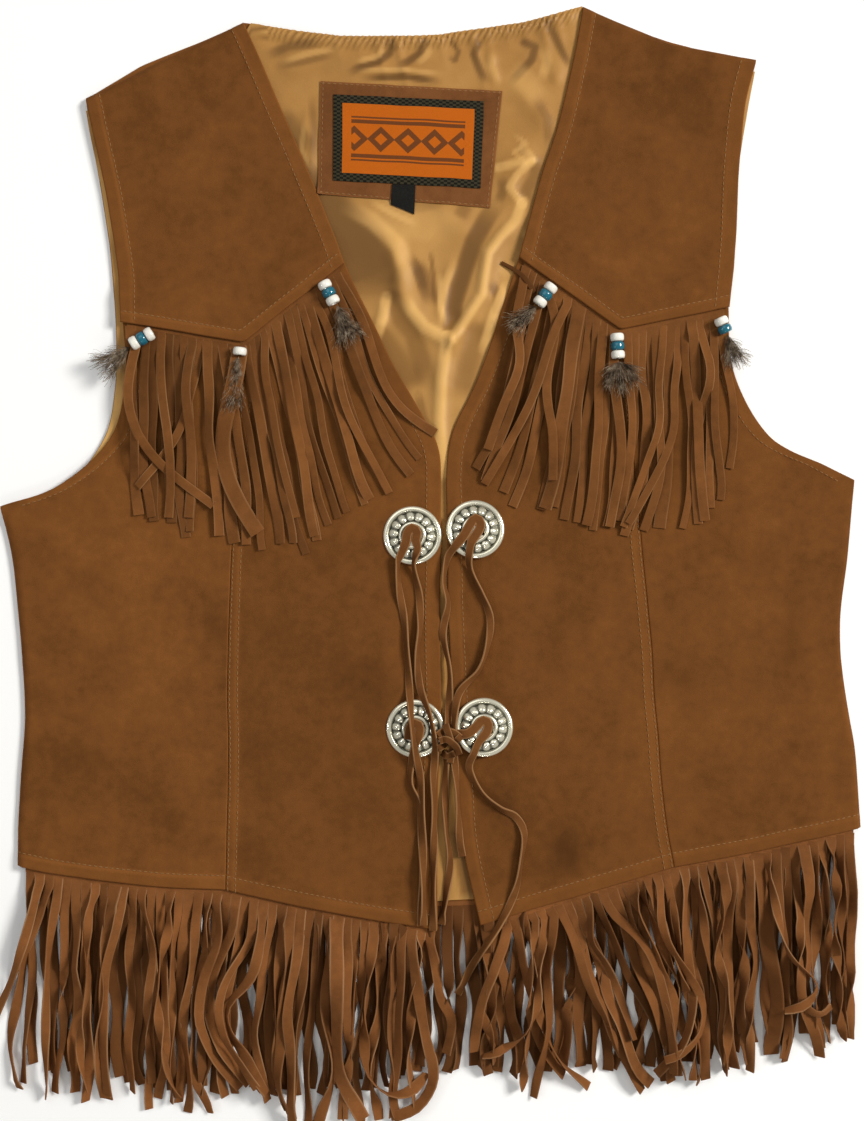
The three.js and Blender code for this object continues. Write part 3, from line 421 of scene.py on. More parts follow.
def across(row, s):
    outer, inner = row["outer"], row["inner"]
    if "peak" in row:
        peak = row["peak"]
        t = (s * 2)[:, None]
        plan = np.where(t < 1, outer + (peak - outer) * t, peak + (inner - peak) * (t - 1))
        return plan[:, 0], plan[:, 1]
    plan = outer + (inner - outer) * s[:, None]
    return plan[:, 0], plan[:, 1] - row["bow"] * 4 * s * (1 - s)


def ridges(rows, x, y):
    height = np.zeros_like(x)
    for row in rows:
        (ax, ay), (bx, by) = row["from"], row["to"]
        dx, dy = bx - ax, by - ay
        along = np.clip(((x - ax) * dx + (y - ay) * dy) / (dx * dx + dy * dy), 0, 1)
        far = np.hypot(x - ax - dx * along, y - ay - dy * along)
        height = np.maximum(height, row["height"] * np.exp(-(far / row["width"]) ** 2))
    return height


# Folds placed as given: a line of points, a height that may be negative, and a half width on each side
# The same strokes also lay painted shade and painted highlights on the satin, and stains and wear on the suede
def folds(rows, x, y, fall=2):
    total = np.zeros_like(x)
    for row in rows:
        line = np.array(row["line"], float)
        steps = np.hypot(*np.diff(line, axis=0).T)
        reached = np.concatenate([[0], np.cumsum(steps)])
        near, share, side = np.full(x.shape, 1e9), np.zeros_like(x), np.zeros_like(x)
        for k in range(len(line) - 1):
            (ax, ay), (bx, by) = line[k], line[k + 1]
            dx, dy = bx - ax, by - ay
            along = np.clip(((x - ax) * dx + (y - ay) * dy) / (dx * dx + dy * dy), 0, 1)
            far = np.hypot(x - ax - dx * along, y - ay - dy * along)
            closer = far < near
            near = np.where(closer, far, near)
            share = np.where(closer, (reached[k] + along * steps[k]) / reached[-1], share)
            side = np.where(closer, np.sign((x - ax) * dy - (y - ay) * dx), side)
        wide = row["width"] * (1 + side * row.get("lean", 0))
        fade = row.get("fade", 0.3)
        ends = ease(share / fade + row.get("start", 0)) * ease((1 - share) / fade + row.get("stop", 0))
        total += row["height"] * ends * np.exp(-(near / wide) ** row.get("fall", fall))
    return total


# Levels of the cloth, as cut
gap = 0.3
thick = {"back": 1.5, "lining": 1.0, "front": 1.6, "yoke": 1.6, "strand": 1.0}
liningLevel = thick["back"] + gap
frontLevel = liningLevel + thick["lining"] + gap
layerStep = thick["strand"] + gap

liningRidges = table("from to width height", [
    ((7, 384), (2, 356), 9, 3.0),
    ((-5, 395), (-24, 424), 10, 2.8),
    ((18, 404), (31, 438), 9, 2.8),
    ((-46, 450), (-32, 430), 10, 1.8),
])
frontRidges = table("from to width height", [
    ((-215, 70), (-200, 250), 34, 2.0),
    ((-105, 60), (-100, 270), 26, 1.6),
    ((-45, 70), (-48, 300), 24, 1.2),
    ((55, 60), (52, 290), 22, 1.2),
    ((105, 75), (95, 290), 24, 1.5),
    ((215, 100), (210, 270), 32, 2.0),
])
frontCreases = table("line width height", [
    ([(-262, 262), (-230, 236), (-196, 226)], 9, 1.4, {"lean": 0.3}),
    ([(-250, 240), (-226, 206), (-206, 190)], 10, -0.8),
    ([(-176, 60), (-170, 130), (-178, 200)], 12, 1.0),
    ([(-82, 70), (-76, 150), (-84, 240)], 11, 0.9, {"lean": -0.3}),
    ([(-30, 120), (-36, 190), (-28, 250)], 8, 0.7),
    ([(40, 100), (46, 180), (40, 240)], 9, 0.8),
    ([(84, 70), (80, 150), (88, 230)], 12, 0.8, {"lean": 0.3}),
    ([(166, 90), (172, 160), (160, 240)], 12, 1.0),
    ([(252, 276), (224, 250), (196, 238)], 9, 1.3, {"lean": -0.3}),
    ([(240, 250), (214, 222), (190, 210)], 10, -0.8),
    ([(-200, 510), (-176, 470), (-166, 430)], 14, 0.9),
    ([(-120, 540), (-128, 490), (-138, 450)], 11, 0.7),
    ([(150, 540), (146, 490), (152, 450)], 13, 0.8),
    ([(110, 540), (104, 500), (98, 470)], 10, 0.7),
])


def frontSwell(x, y):
    drape = ridges(frontRidges, x, y) + folds(frontCreases, x, y) + softNoise(x, y, 46, 3) * 0.45
    return np.maximum(drape + 0.3, 0) + ridges(liningRidges, x, y)


wornMarks = table("line width height", [
    ([(164, 417), (169, 412)], 2.4, 0.55),
    ([(171, 412), (177, 406)], 2.2, 0.45),
    ([(-96, 300), (-92, 250), (-98, 190)], 16, 0.12),
    ([(70, 250), (78, 200), (72, 150)], 15, 0.12),
    ([(-190, 180), (-180, 120)], 18, 0.14),
    ([(200, 190), (214, 130)], 20, 0.12),
    ([(-180, 500), (-150, 470)], 16, 0.12),
    ([(140, 540), (150, 480)], 18, 0.1),
])
darkMarks = table("line width height", [
    ([(80, 56), (84, 44)], 9, 0.58, {"start": 1, "stop": 1}),
    ([(150, 168), (158, 163)], 8, 0.34, {"start": 1, "stop": 1}),
    ([(232, 226), (228, 190), (226, 166)], 10, 0.26, {"start": 0.5, "stop": 0.5}),
    ([(-52, 190), (-40, 120), (-44, 60)], 18, 0.14),
    ([(-214, 190), (-206, 176)], 12, 0.16),
    ([(110, 214), (150, 196)], 16, 0.14),
    ([(-240, 120), (-226, 70)], 16, 0.14),
    ([(-100, 150), (-84, 90)], 20, 0.12),
    ([(160, 560), (170, 500)], 16, 0.12),
    ([(60, 260), (40, 220)], 14, 0.12),
])


def weaveShift(x, y):  # edges aren't quite true, and all pieces share the same drift
    return x + softNoise(x, y, 30, 11) * 0.45, y + softNoise(x, y, 27, 12) * 0.45


# Meshes
def closeMesh(name, points, faces, finish, attributes=None, uv=None, sharp=50):
    mesh = bpy.data.meshes.new(name)
    mesh.from_pydata(metres(points).tolist(), [], faces)
    for key, values in (attributes or {}).items():
        layer = mesh.attributes.new(key, "FLOAT", "POINT")
        layer.data.foreach_set("value", np.asarray(values, np.float32))
    if uv is not None:
        layer = mesh.uv_layers.new(name="cut")
        corners = np.empty(len(mesh.loops), np.int32)
        mesh.loops.foreach_get("vertex_index", corners)
        layer.data.foreach_set("uv", np.asarray(uv, np.float32)[corners].ravel())
    mesh.polygons.foreach_set("use_smooth", [True] * len(mesh.polygons))
    mesh.set_sharp_from_angle(angle=math.radians(sharp))
    mesh.materials.append(finishes[finish])
    piece = bpy.data.objects.new(name, mesh)
    bpy.context.scene.collection.objects.link(piece)
    return piece


def dress(piece, node, slotName):
    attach(piece, "root")
    if node:
        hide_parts(node)
    return piece


def wallFaces(rows, columns, turned):
    grid = np.arange(rows * columns).reshape(rows, columns)
    low = grid + rows * columns
    a, b, c, d = grid[:-1, :-1], grid[:-1, 1:], grid[1:, 1:], grid[1:, :-1]
    top = np.stack([a, b, c, d], -1).reshape(-1, 4)
    bottom = np.stack([a, d, c, b], -1).reshape(-1, 4) + rows * columns
    ring = np.concatenate([grid[0, :-1], grid[:-1, -1], grid[-1, :0:-1], grid[:0:-1, 0]])
    after = np.roll(ring, -1)
    rim = np.stack([ring + low[0, 0], after + low[0, 0], after, ring], -1)
    faces = np.concatenate([top, bottom, rim])
    return (faces[:, ::-1] if turned else faces).tolist()


def columnShares(width, fine, edges=(0, 0.35, 0.9, 1.7, 3)):
    inner = np.linspace(edges[-1], width - edges[-1], max(3, round((width - 2 * edges[-1]) / fine)))
    reach = np.array(edges[:-1])
    return np.concatenate([reach, inner, width - reach[::-1]]) / width


def edgeFar(x, y):  # how far each grid point lies from the four edges
    def reach(dx, dy, axis):
        steps = np.hypot(dx, dy)
        zero = np.zeros_like(np.take(steps, [0], axis))
        return np.concatenate([zero, np.cumsum(steps, axis)], axis)
    over = reach(np.diff(x, axis=1), np.diff(y, axis=1), 1)
    up = reach(np.diff(x, axis=0), np.diff(y, axis=0), 0)
    return {"outer": over, "inner": over[:, -1:] - over, "start": up, "end": up[-1:] - up}


# One cloth panel: its sections, a rule for the height of its lower face, and its stitched edges
sewing = {
    "roll": 0.38, "edge": 0.9, "edgeWear": 0.8, "fade": 0.25, "sink": 0.35, "sinkWide": 0.75, "step": 1.6,
    "flat": 0.28, "ridge": 0.45, "ridgeIn": 1.2, "pair": 0.28, "pairWide": 0.6, "nap": 0.06, "over": 0.04,
}


def seamStart(seam):  # a seam without a start runs the whole length
    return seam.get("from", -9)


def gridTurned(x, y):
    return ((x[0, 1] - x[0, 0]) * (y[1, 0] - y[0, 0]) - (y[0, 1] - y[0, 0]) * (x[1, 0] - x[0, 0])) < 0


def twoFaces(x, y, top, bottom):
    return np.concatenate([np.stack([x, y, z], -1).reshape(-1, 3) for z in (top, bottom)])


def panel(name, node, make):
    s = make.get("columns", columnShares(make["width"], make["fine"]))
    t = make["rows"]
    plan = [make.get("place", across)(readTable(make["sections"], v), s) for v in t]
    x, y = np.array([p[0] for p in plan]), np.array([p[1] for p in plan])
    far = edgeFar(x, y)
    x, y = weaveShift(x, y)
    tall = np.repeat(np.array(t)[:, None], len(s), 1)
    bottom = make["under"](x, y, tall, np.repeat(s[None, :], len(t), 0))
    top = bottom + make["thick"]
    edge = np.minimum.reduce(list(far.values()))
    roll = make["thick"] * sewing["roll"]
    bare = 1 - np.clip(edge / sewing["edge"], 0, 1)
    rolled = roll * (1 - np.sqrt(np.clip(1 - bare ** 2, 0, 1)))
    wear = np.clip(1 - edge / sewing["edge"], 0, 1) * sewing["edgeWear"]
    for seam in make["seams"]:
        d = far[seam["edge"]]
        on = ease((np.array(t)[:, None] - seamStart(seam)) / sewing["fade"])
        raised = seam["rise"] * (1 - ease((d - seam["at"] + 0.4) / sewing["step"])) * on
        groove = sewing["sink"] * np.exp(-((d - seam["at"]) / sewing["sinkWide"]) ** 2) * on
        top = top + raised - groove
        rubbed = sewing["ridge"] * np.exp(-((d - seam["at"] + sewing["ridgeIn"]) / 1.0) ** 2)
        wear = np.maximum(wear, (sewing["flat"] * (d < seam["at"]) + rubbed) * on)
        if seam.get("double"):
            top = top - sewing["pair"] * np.exp(-((d - seam["double"]) / sewing["pairWide"]) ** 2)
    top = top + softNoise(x, y, 9, 5) * sewing["nap"]
    points = twoFaces(x, y, top - rolled, bottom + rolled)
    wear = np.maximum(wear, folds(wornMarks, x, y))
    shade = folds(darkMarks, x, y)
    # On the lining, painted shade and painted highlights take the place of most edge wear; the highlights share
    # the wear attribute
    if "toneAndLight" in make:
        shade, bright = make["toneAndLight"](x, y, tall)
        wear = np.maximum(wear * 0.3, bright)
    piece = closeMesh(name, points, wallFaces(*x.shape, gridTurned(x, y)), make["finish"], {
        "wear": np.tile(wear.ravel(), 2), "shade": np.tile(shade.ravel(), 2)})
    dress(piece, node, make["slot"])
    runs = [stitchLine(seam, at, x, y, top, far, np.array(t))
            for seam in make["seams"] for at in (seam["at"], seam.get("double")) if at]
    return piece, [run for run in runs if run is not None]


def stitchLine(seam, at, x, y, z, far, t):
    lengthwise = seam["edge"] in ("outer", "inner")
    others = ("start", "end") if lengthwise else ("outer", "inner")
    grids = [far[seam["edge"]], x, y, z, *(far[key] for key in others)]
    if not lengthwise:
        grids = [grid.T for grid in grids]
    line = []
    for k in range(len(grids[0])):
        if lengthwise and t[k] < seamStart(seam):
            continue
        order = np.argsort(grids[0][k])
        px, py, pz, *ends = (float(np.interp(at, grids[0][k][order], grid[k][order])) for grid in grids[1:])
        if min(ends) >= seam.get("clear", 2.5):
            line.append((px, py, pz + sewing["over"]))
    return np.array(line) if len(line) > 3 else None


# Back and lining
backSections = table("outer inner bow crown", [
    ((-275, 41.5), (274.5, 66.5), 38, 0),
    ((-274, 92), (270.5, 115), 26, 0),
    ((-270.5, 136), (263, 167), 14, 0),
    ((-273, 185), (261, 200), 6, 0),
    ((-278, 237), (266, 245), 2, 0),
    ((-286, 275), (270, 292.5), 0, 0, {"corner": True}),
    ((-246, 290), (250, 302), 0, 0.04),
    ((-221, 317), (213, 323), 0, 0.1),
    ((-212.5, 353), (191.5, 360), 0, 0.22),
    ((-212, 395), (187, 402), 0, 0.4),
    ((-215, 442), (191.5, 447), 0, 0.6),
    ((-221.5, 482), (194.5, 495), 0, 0.8),
    ((-231.5, 541), (206, 567), 0, 1),
])
crownAlong = [0, 0.083, 0.17, 0.237, 0.32, 0.38, 0.53, 0.65, 0.743, 0.8, 0.87, 0.93, 1]
crownRise = [0, 20, 33, 44, 36, 31.5, 28.5, 33, 41.5, 27.5, 15, 7, 0]


def acrossBack(row, s):
    x, y = across(row, s)
    return x, y + np.interp(s, crownAlong, crownRise) * row["crown"]


def acrossLining(row, s):
    x, y = acrossBack(row, s)
    inset = blend(4.8, 0.6, ease(row["crown"] * 12))
    inNeck = (s > 0.237) & (s < 0.743)
    lower = np.where(inNeck, 0.2, 8.0) * ease((row["crown"] - 0.8) / 0.2)
    return x + inset * (1 - 2 * s), y - lower


liningFolds = table("line width height", [
    ([(2, 296), (0, 332), (1, 358), (5, 384)], 5, 2.6, {"start": 1}),
    ([(5, 384), (-10, 392), (-18, 402), (-25, 414), (-26, 430), (-30, 446), (-46, 462)], 6, 2.8,
     {"start": 1}),
    ([(8, 384), (19, 401), (27, 413), (29, 428), (31, 440), (39, 451), (49, 461), (54, 474)], 5, 3.4,
     {"start": 1, "lean": 0.3}),
    ([(54, 472), (46, 483), (51, 492), (60, 500)], 4.5, 2.2, {"lean": -0.3}),
    ([(38, 496), (50, 500), (60, 501), (52, 513)], 4.5, 2.4, {"start": 0.5}),
    ([(42, 556), (54, 546), (66, 530), (72, 512)], 7, 1.8),
    ([(4, 386), (1, 402), (3, 420), (11, 440)], 4, 1.9),
    ([(-35, 412), (-37, 399), (-41, 387)], 4.5, 2.0),
    ([(43, 420), (35, 401), (28, 378)], 4.5, 2.0),
    ([(-58, 560), (-30, 560), (2, 558)], 4, 1.5),
    ([(-112, 572), (-92, 573), (-66, 580)], 4, 1.1),
    ([(-108, 558), (-92, 560), (-70, 568)], 4, 0.9),
    ([(-88, 540), (-85, 510), (-86, 480)], 4, 1.6),
    ([(-4, 474), (12, 462), (18, 446)], 8, 1.3),
    ([(34, 574), (33, 562), (38, 548)], 4, 1.3),
    ([(74, 572), (78, 560), (74, 548)], 4, 1.3),
])
# Painted shade on the satin: its dark sheen zones, the troughs of its folds and neck puckers, and the left front
# edge's shadow (last row)
liningShades = table("line width height", [
    ([(-96, 486), (-74, 466), (-54, 446), (-44, 424), (-46, 398)], 18.5, 0.95, {"start": 1, "fall": 9}),
    ([(-31, 410), (-26, 398), (-18, 388), (-12, 372), (-8, 350)], 6.5, 0.55, {"start": 1}),
    ([(-40, 384), (-28, 366), (-16, 346)], 12, 0.6, {"start": 1}),
    ([(24, 388), (18, 366), (12, 342)], 8, 0.45, {"start": 1}),
    ([(7, 388), (9, 408), (16, 430), (22, 448), (31, 464), (42, 480)], 6, 0.95, {"start": 0.5, "fall": 6}),
    ([(-18, 438), (-10, 424), (-6, 404)], 5, 0.6),
    ([(18, 474), (12, 462)], 5, 0.5),
    ([(32, 424), (38, 412), (36, 396)], 3.4, 0.7),
    ([(-31, 578), (-33, 571), (-40, 565), (-54, 561), (-62, 556)], 2.8, 1.0, {"start": 1}),
    ([(-10, 578), (-13, 571), (-20, 566), (-28, 561)], 2.8, 1.0, {"start": 1}),
    ([(-54, 554.5), (-24, 555.5), (4, 552)], 2.2, 1.1),
    ([(8, 578), (12, 572), (10, 566), (4, 569)], 1.7, 0.8, {"start": 1}),
    ([(25, 577), (22, 570), (26, 560), (31, 549)], 2.6, 0.9, {"start": 1}),
    ([(55, 578), (62, 575), (60, 567), (51, 557), (44, 549)], 2.8, 0.95, {"start": 1}),
    ([(70, 591), (75, 581), (81, 569), (86, 560)], 2.6, 0.9, {"start": 1}),
    ([(-116, 568), (-100, 575), (-74, 578)], 3.4, 0.8),
    ([(-110, 562), (-90, 565), (-66, 571)], 2.6, 0.6),
    ([(-106, 536), (-96, 520), (-84, 505)], 7, 0.7),
    ([(-84, 545), (-82, 520), (-84, 495)], 2.5, 0.6),
    ([(64, 508), (62, 492), (56, 480), (60, 466)], 4.5, 0.6),
    ([(40, 492), (41, 482), (38, 472)], 3.2, 0.6),
    ([(-21, 442), (-14, 428), (-10, 412)], 3.6, 0.5, {"fall": 7}),
    ([(-6, 440), (-4, 424), (-3, 402)], 1.6, 0.5, {"start": 0.5, "fall": 6}),
    ([(-30, 478), (-14, 470), (4, 474)], 3.4, 0.35, {"fall": 6}),
    ([(60, 545), (70, 528), (71, 506)], 3.0, 0.45, {"fall": 6}),
    ([(-98, 520), (-93, 500), (-84, 488)], 3.2, 0.4, {"fall": 7}),
    ([(-14, 348), (-10, 330), (-7, 312)], 3.0, 0.45, {"start": 0.5, "fall": 6}),
    ([(11, 66), (15, 44), (21, 12)], 5.5, 0.95, {"start": 1, "stop": 1}),
])
# Painted highlights on the satin: sheen on fold crests and puckers, and painted light on the strips along the
# right armhole, which lie in the fronts' shade (last two rows)
liningHighlights = table("line width height", [
    ([(2, 296), (0, 332), (1, 358), (5, 386)], 4.0, 0.75, {"start": 1, "stop": 1}),
    ([(5, 384), (-10, 392), (-18, 402), (-25, 414)], 4.2, 0.7, {"start": 1}),
    ([(-25, 412), (-23, 430), (-26, 444), (-44, 462), (-66, 474)], 5.5, 0.45),
    ([(-50, 470), (-24, 462), (0, 458), (8, 444)], 12, 0.28),
    ([(8, 384), (19, 401), (27, 413), (29, 428), (31, 440), (39, 451), (49, 461), (54, 474)], 3.6, 0.75,
     {"start": 1, "stop": 1}),
    ([(54, 472), (45, 483), (50, 491), (60, 500)], 2.6, 0.6, {"start": 1, "stop": 1}),
    ([(38, 496), (50, 499), (60, 501), (51, 513)], 3.2, 0.6, {"start": 1}),
    ([(3, 388), (1, 404), (3, 420), (11, 438)], 3.0, 0.4),
    ([(-35, 412), (-37, 399), (-41, 387)], 3.6, 0.8, {"start": 0.5, "stop": 0.5}),
    ([(43, 420), (35, 401), (28, 378)], 3.2, 0.8, {"start": 0.4, "stop": 0.4}),
    ([(40, 434), (46, 424)], 4, 0.3),
    ([(44, 562), (58, 550), (68, 536)], 8, 0.32),
    ([(-106, 564), (-88, 570), (-64, 575)], 2.2, 0.35),
    ([(-58, 559.5), (-28, 560), (6, 557)], 1.6, 0.4),
    ([(-36, 577), (-40, 569), (-56, 565)], 2.0, 0.4),
    ([(-6, 577), (-8, 570), (-16, 563)], 2.4, 0.35),
    ([(33, 574), (34, 562), (39, 548)], 2.6, 0.35),
    ([(66, 576), (70, 566), (66, 552)], 3.2, 0.35),
    ([(0, 426), (0, 408), (3, 392)], 1.8, 0.5, {"start": 0.4}),
    ([(-48, 476), (-30, 466), (-12, 458)], 2.2, 0.35),
    ([(46, 520), (56, 512), (48, 506), (58, 499)], 1.6, 0.4),
    ([(52, 458), (58, 448), (62, 436)], 2.0, 0.4),
    ([(-88, 530), (-90, 508), (-84, 492)], 1.8, 0.35),
    ([(-243, 292), (-220, 318), (-212, 340), (-209.5, 375)], 4.6, 0.85, {"start": 1, "fade": 0.15}),
    ([(-224, 505), (-219, 474), (-214, 440)], 4.6, 0.7, {"start": 0.3}),
])
neckPuckers = [  # where along the neck, how long and how high
    (-66, 9, 1.0), (-52, 8, 0.8), (-39, 16, 1.3), (-26, 20, 1.5), (-12, 9, 0.8), (2, 12, 1.0), (14, 8, 0.7),
    (22.8, 22, 1.5), (32.5, 16, 1.1), (45, 9, 0.8), (57, 10, 0.9), (68, 22, 1.4), (78, 14, 1.2), (86, 9, 0.8),
]
neckSeam = {
    "span": (0.237, 0.743), "fade": 0.02, "cordAt": 2.6, "cordWide": 2.2, "cordHigh": 1.5, "pleats": 0.75,
    "pleatWide": 4.0, "pleatLong": 5.6, "seamAt": 6.8, "seamWide": 0.9, "seamDeep": -0.5, "pucker": 2.6,
}


def neckFar(t):  # roughly how far a section lies under the neck edge
    return (12 - t) * 48


def pleats(x, y, t):
    neck = neckFar(t)
    drift = x + neck * 0.8 + 1.6 * softNoise(x, y, 13, 9)
    return np.sin(drift * 2 * math.pi / neckSeam["pleatWide"]) * np.exp(-(neck / neckSeam["pleatLong"]) ** 4)


# The lining's painted light: painted shade and highlights from the strokes, painted shade in pleat troughs and
# highlights on pleat crests, brighter towards the bottom (lit), with a random mottle
def liningToneAndLight(x, y, t):
    dark = np.clip(folds(liningShades, x, y, 4), 0, 1.1)
    bright = np.clip(folds(liningHighlights, x, y, 5), 0, 1)
    ripple = pleats(x, y, t)
    fade = np.maximum(ease((y - 285) / 15), ease((70 - y) / 10))
    mottle = softNoise(x, y, 17, 31) * 0.5 + softNoise(x, y, 7, 32) * 0.35
    lit = 0.2 * ease((500 - y) / 80) * np.clip(1 - 2 * dark, 0, 1)
    dark = dark + np.clip(-ripple, 0, 1) * 0.6 + np.clip(mottle, 0, 1) * 0.3 * (1 - np.clip(dark, 0, 1))
    plain = np.clip(1 - 2 * dark, 0, 1)
    bright = bright + lit + np.clip(ripple, 0, 1) * 0.3 + np.clip(-mottle, 0, 1) * 0.2 * plain
    return np.clip(dark * fade, 0, 1), np.clip(bright * fade, 0, 1)


def liningTop(x, y, t, s):
    make = neckSeam
    level = liningLevel + ridges(liningRidges, x, y) * 0.55
    opening = ease((y - 296) / 30) * ease((112 - np.abs(x)) / 24)
    folded = np.maximum(folds(liningFolds, x, y) + softNoise(x, y, 21, 8) * 0.35 + 0.35, 0)
    level = level + folded * opening
    neck = neckFar(t)
    inNeck = ease((s - make["span"][0]) / make["fade"]) * ease((make["span"][1] - s) / make["fade"])
    cord = make["cordHigh"] * np.exp(-((neck - make["cordAt"]) / make["cordWide"]) ** 2)
    twist = make["pleats"] * pleats(x, y, t)
    gather = np.zeros_like(x)
    for at, long, high in neckPuckers:
        drift = (neck - 8) * 0.35
        pucker = np.exp(-((x - at - drift) / make["pucker"]) ** 2)
        gather += high * pucker * np.exp(-(neck / long) ** 2) * ease(neck / 5)
    seam = make["seamDeep"] * np.exp(-((neck - make["seamAt"]) / make["seamWide"]) ** 2)
    return level + (cord + twist + gather + seam) * inNeck


liningRows = np.concatenate([
    np.linspace(0.03, 1.0, 12), np.linspace(1.1, 6.5, 26), np.linspace(6.6, 11.0, 116),
    np.linspace(11.03, 12, 46)])
liningColumns = np.concatenate([
    [0, 0.003, 0.006, 0.010, 0.014, 0.019], np.linspace(0.025, 0.27, 22), np.linspace(0.275, 0.78, 150),
    np.linspace(0.79, 1, 18)])
panels, stitchRuns = {}, []


def addPanel(name, node, make):
    panels[name], runs = panel(name, node, make)
    stitchRuns.extend(runs)


def backUnder(x, y, t, s):
    return x * 0


addPanel("back_suede", "back", {
    "sections": backSections, "rows": np.linspace(0, 12, 120), "width": 545, "fine": 5, "thick": thick["back"],
    "place": acrossBack, "under": backUnder, "seams": [], "finish": "suedeBack", "slot": "suede",
})
addPanel("lining_satin", "back_lining", {
    "sections": backSections, "rows": liningRows, "width": 540, "columns": liningColumns, "fine": 3,
    "thick": 0.8, "place": acrossLining, "under": liningTop, "seams": [], "finish": "satin", "slot": "satin",
    "toneAndLight": liningToneAndLight,
})
print("back and lining sewn")

# Fronts
sideSections = {
    "right": table("outer inner bow", [
        ((-275, 41.5), (-139, 26), 3.5),
        ((-274, 92), (-138, 84), 1),
        ((-270.5, 136), (-138, 136), 0),
        ((-273, 185), (-137.5, 185), 0),
        ((-278, 237), (-136, 230), 0),
        ((-286, 275), (-134.5, 262), 0, {"corner": True}),
        ((-247.5, 290), (-133, 288), 0),
        ((-215.4, 319), (-131.5, 316), 0),
        ((-205, 358), (-129.5, 352), 0),
        ((-206.5, 395), (-128, 382), 0),
        ((-208.5, 409), (-128, 396), 0),
    ]),
    "left": table("outer inner bow", [
        ((274.5, 66.5), (152, 41), 1),
        ((270.5, 115), (145, 88), 0),
        ((263, 160), (141, 134), 0),
        ((261, 200), (137.5, 181), 0),
        ((266, 245), (133, 232), 0),
        ((270, 292.5), (129.5, 270), 0, {"corner": True}),
        ((251, 302), (127.5, 293), 0),
        ((214.5, 321), (125, 318), 0),
        ((191.5, 362), (121, 354), 0),
        ((188, 405), (116.5, 390), 0),
        ((188.5, 419), (115, 404), 0),
    ]),
}
centreSections = {
    "right": table("outer inner bow", [
        ((-139, 26), (-2, 0), 1.5),
        ((-138, 84), (-1.5, 84), 0),
        ((-138, 136), (0.5, 150), 0),
        ((-137.5, 185), (0, 214), 0),
        ((-136, 230), (0.5, 262), 0),
        ((-134.5, 262), (0.5, 292), 0),
        ((-133, 288), (-1.5, 314), 0),
        ((-131.5, 316), (-11, 334), 0),
        ((-129.5, 352), (-33, 373), 0),
        ((-128, 382), (-62, 434), 0),
        ((-128, 396), (-68.5, 449), 0),
    ]),
    "left": table("outer inner bow", [
        ((152, 41), (26, 3), 0),
        ((145, 88), (15, 52), 0),
        ((141, 134), (11, 104), 0),
        ((137.5, 181), (8, 150), 0),
        ((133, 232), (5, 215), 0),
        ((129.5, 270), (4.5, 268), 0),
        ((127.5, 293), (4, 299), 0),
        ((125, 318), (8.5, 325), 0),
        ((121, 354), (26, 363), 0),
        ((116.5, 390), (51.5, 437), 0),
        ((115, 404), (57, 451), 0),
    ]),
}
hemStep, sideRoll, armRoll, underarmRow = (0.17, 0.36), 0.026, 0.4, 5


def frontUnder(x, y, t, s):
    hem = layerStep * (1 - ease((t - hemStep[0]) / (hemStep[1] - hemStep[0])))
    return frontLevel + hem + frontSwell(x, y)


def sideUnder(x, y, t, s):
    lifted = np.maximum(ease(s / sideRoll), ease((t - underarmRow + armRoll) / armRoll))
    return blend(liningLevel, frontUnder(x, y, t, s), lifted)


def seamed(sections, column, move):
    return [{**row, column: (row[column][0] + move, row[column][1])} for row in sections]


frontRows = np.concatenate([[0, 0.007, 0.018, 0.035], np.linspace(0.06, 0.6, 14), np.linspace(0.64, 10, 190)])
hemSeam = {"edge": "start", "at": 9.2, "rise": 0.4, "clear": 1}
armSeam = {"edge": "outer", "at": 9.5, "rise": 0.4, "from": 5.1}
frontSeam = {"edge": "inner", "at": 9.5, "rise": 0.4}
princessSeam = {"edge": "outer", "at": 6.4, "rise": 0.35, "double": 1.2, "clear": 1}
for side, inward in (("right", 1), ("left", -1)):
    addPanel(f"front_side_{side}_suede", f"front_side_{side}", {
        "sections": seamed(sideSections[side], "inner", -inward * 0.1), "rows": frontRows, "width": 128,
        "fine": 2.2, "thick": thick["front"], "under": sideUnder, "finish": "suede" + side.capitalize(),
        "slot": "suede", "seams": [hemSeam, armSeam],
    })
    addPanel(f"front_centre_{side}_suede", f"front_centre_{side}", {
        "sections": seamed(centreSections[side], "outer", inward * 0.1), "rows": frontRows, "width": 132,
        "fine": 2.2, "thick": thick["front"], "under": frontUnder,
        "finish": {"right": "suedeCentre", "left": "suedeLeft"}[side],
        "slot": "suede", "seams": [hemSeam, frontSeam, princessSeam],
    })

# Yokes
yokeSections = {
    "right": table("outer peak inner", [
        ((-231, 541), (-179.5, 567), (-128, 590.5)),
        ((-223, 506), (-168, 533), (-113, 557)),
        ((-216.5, 474), (-157, 493), (-97.5, 520)),
        ((-211.5, 445), (-146.5, 452), (-83, 487)),
        ((-208.5, 419), (-137, 415), (-70.5, 456)),
        ((-207.5, 395), (-128, 382), (-62, 433)),
    ]),
    "left": table("outer peak inner", [
        ((206, 566.5), (149, 577), (93.5, 601)),
        ((198.5, 535), (143, 543), (87, 567)),
        ((195, 503), (136, 505), (77.5, 527)),
        ((193.5, 470), (129.5, 466), (68, 497)),
        ((191.5, 436), (122.5, 427), (59, 464)),
        ((188, 405), (116.5, 390), (51.5, 437)),
    ]),
}
yokeRise = thick["front"] + gap + thick["strand"] + gap


def yokeUnder(x, y, t, s):
    rise = yokeRise * ease((t - 3.75) / 0.55)
    return blend(liningLevel, frontLevel + rise + frontSwell(x, y), ease(t / 0.1))


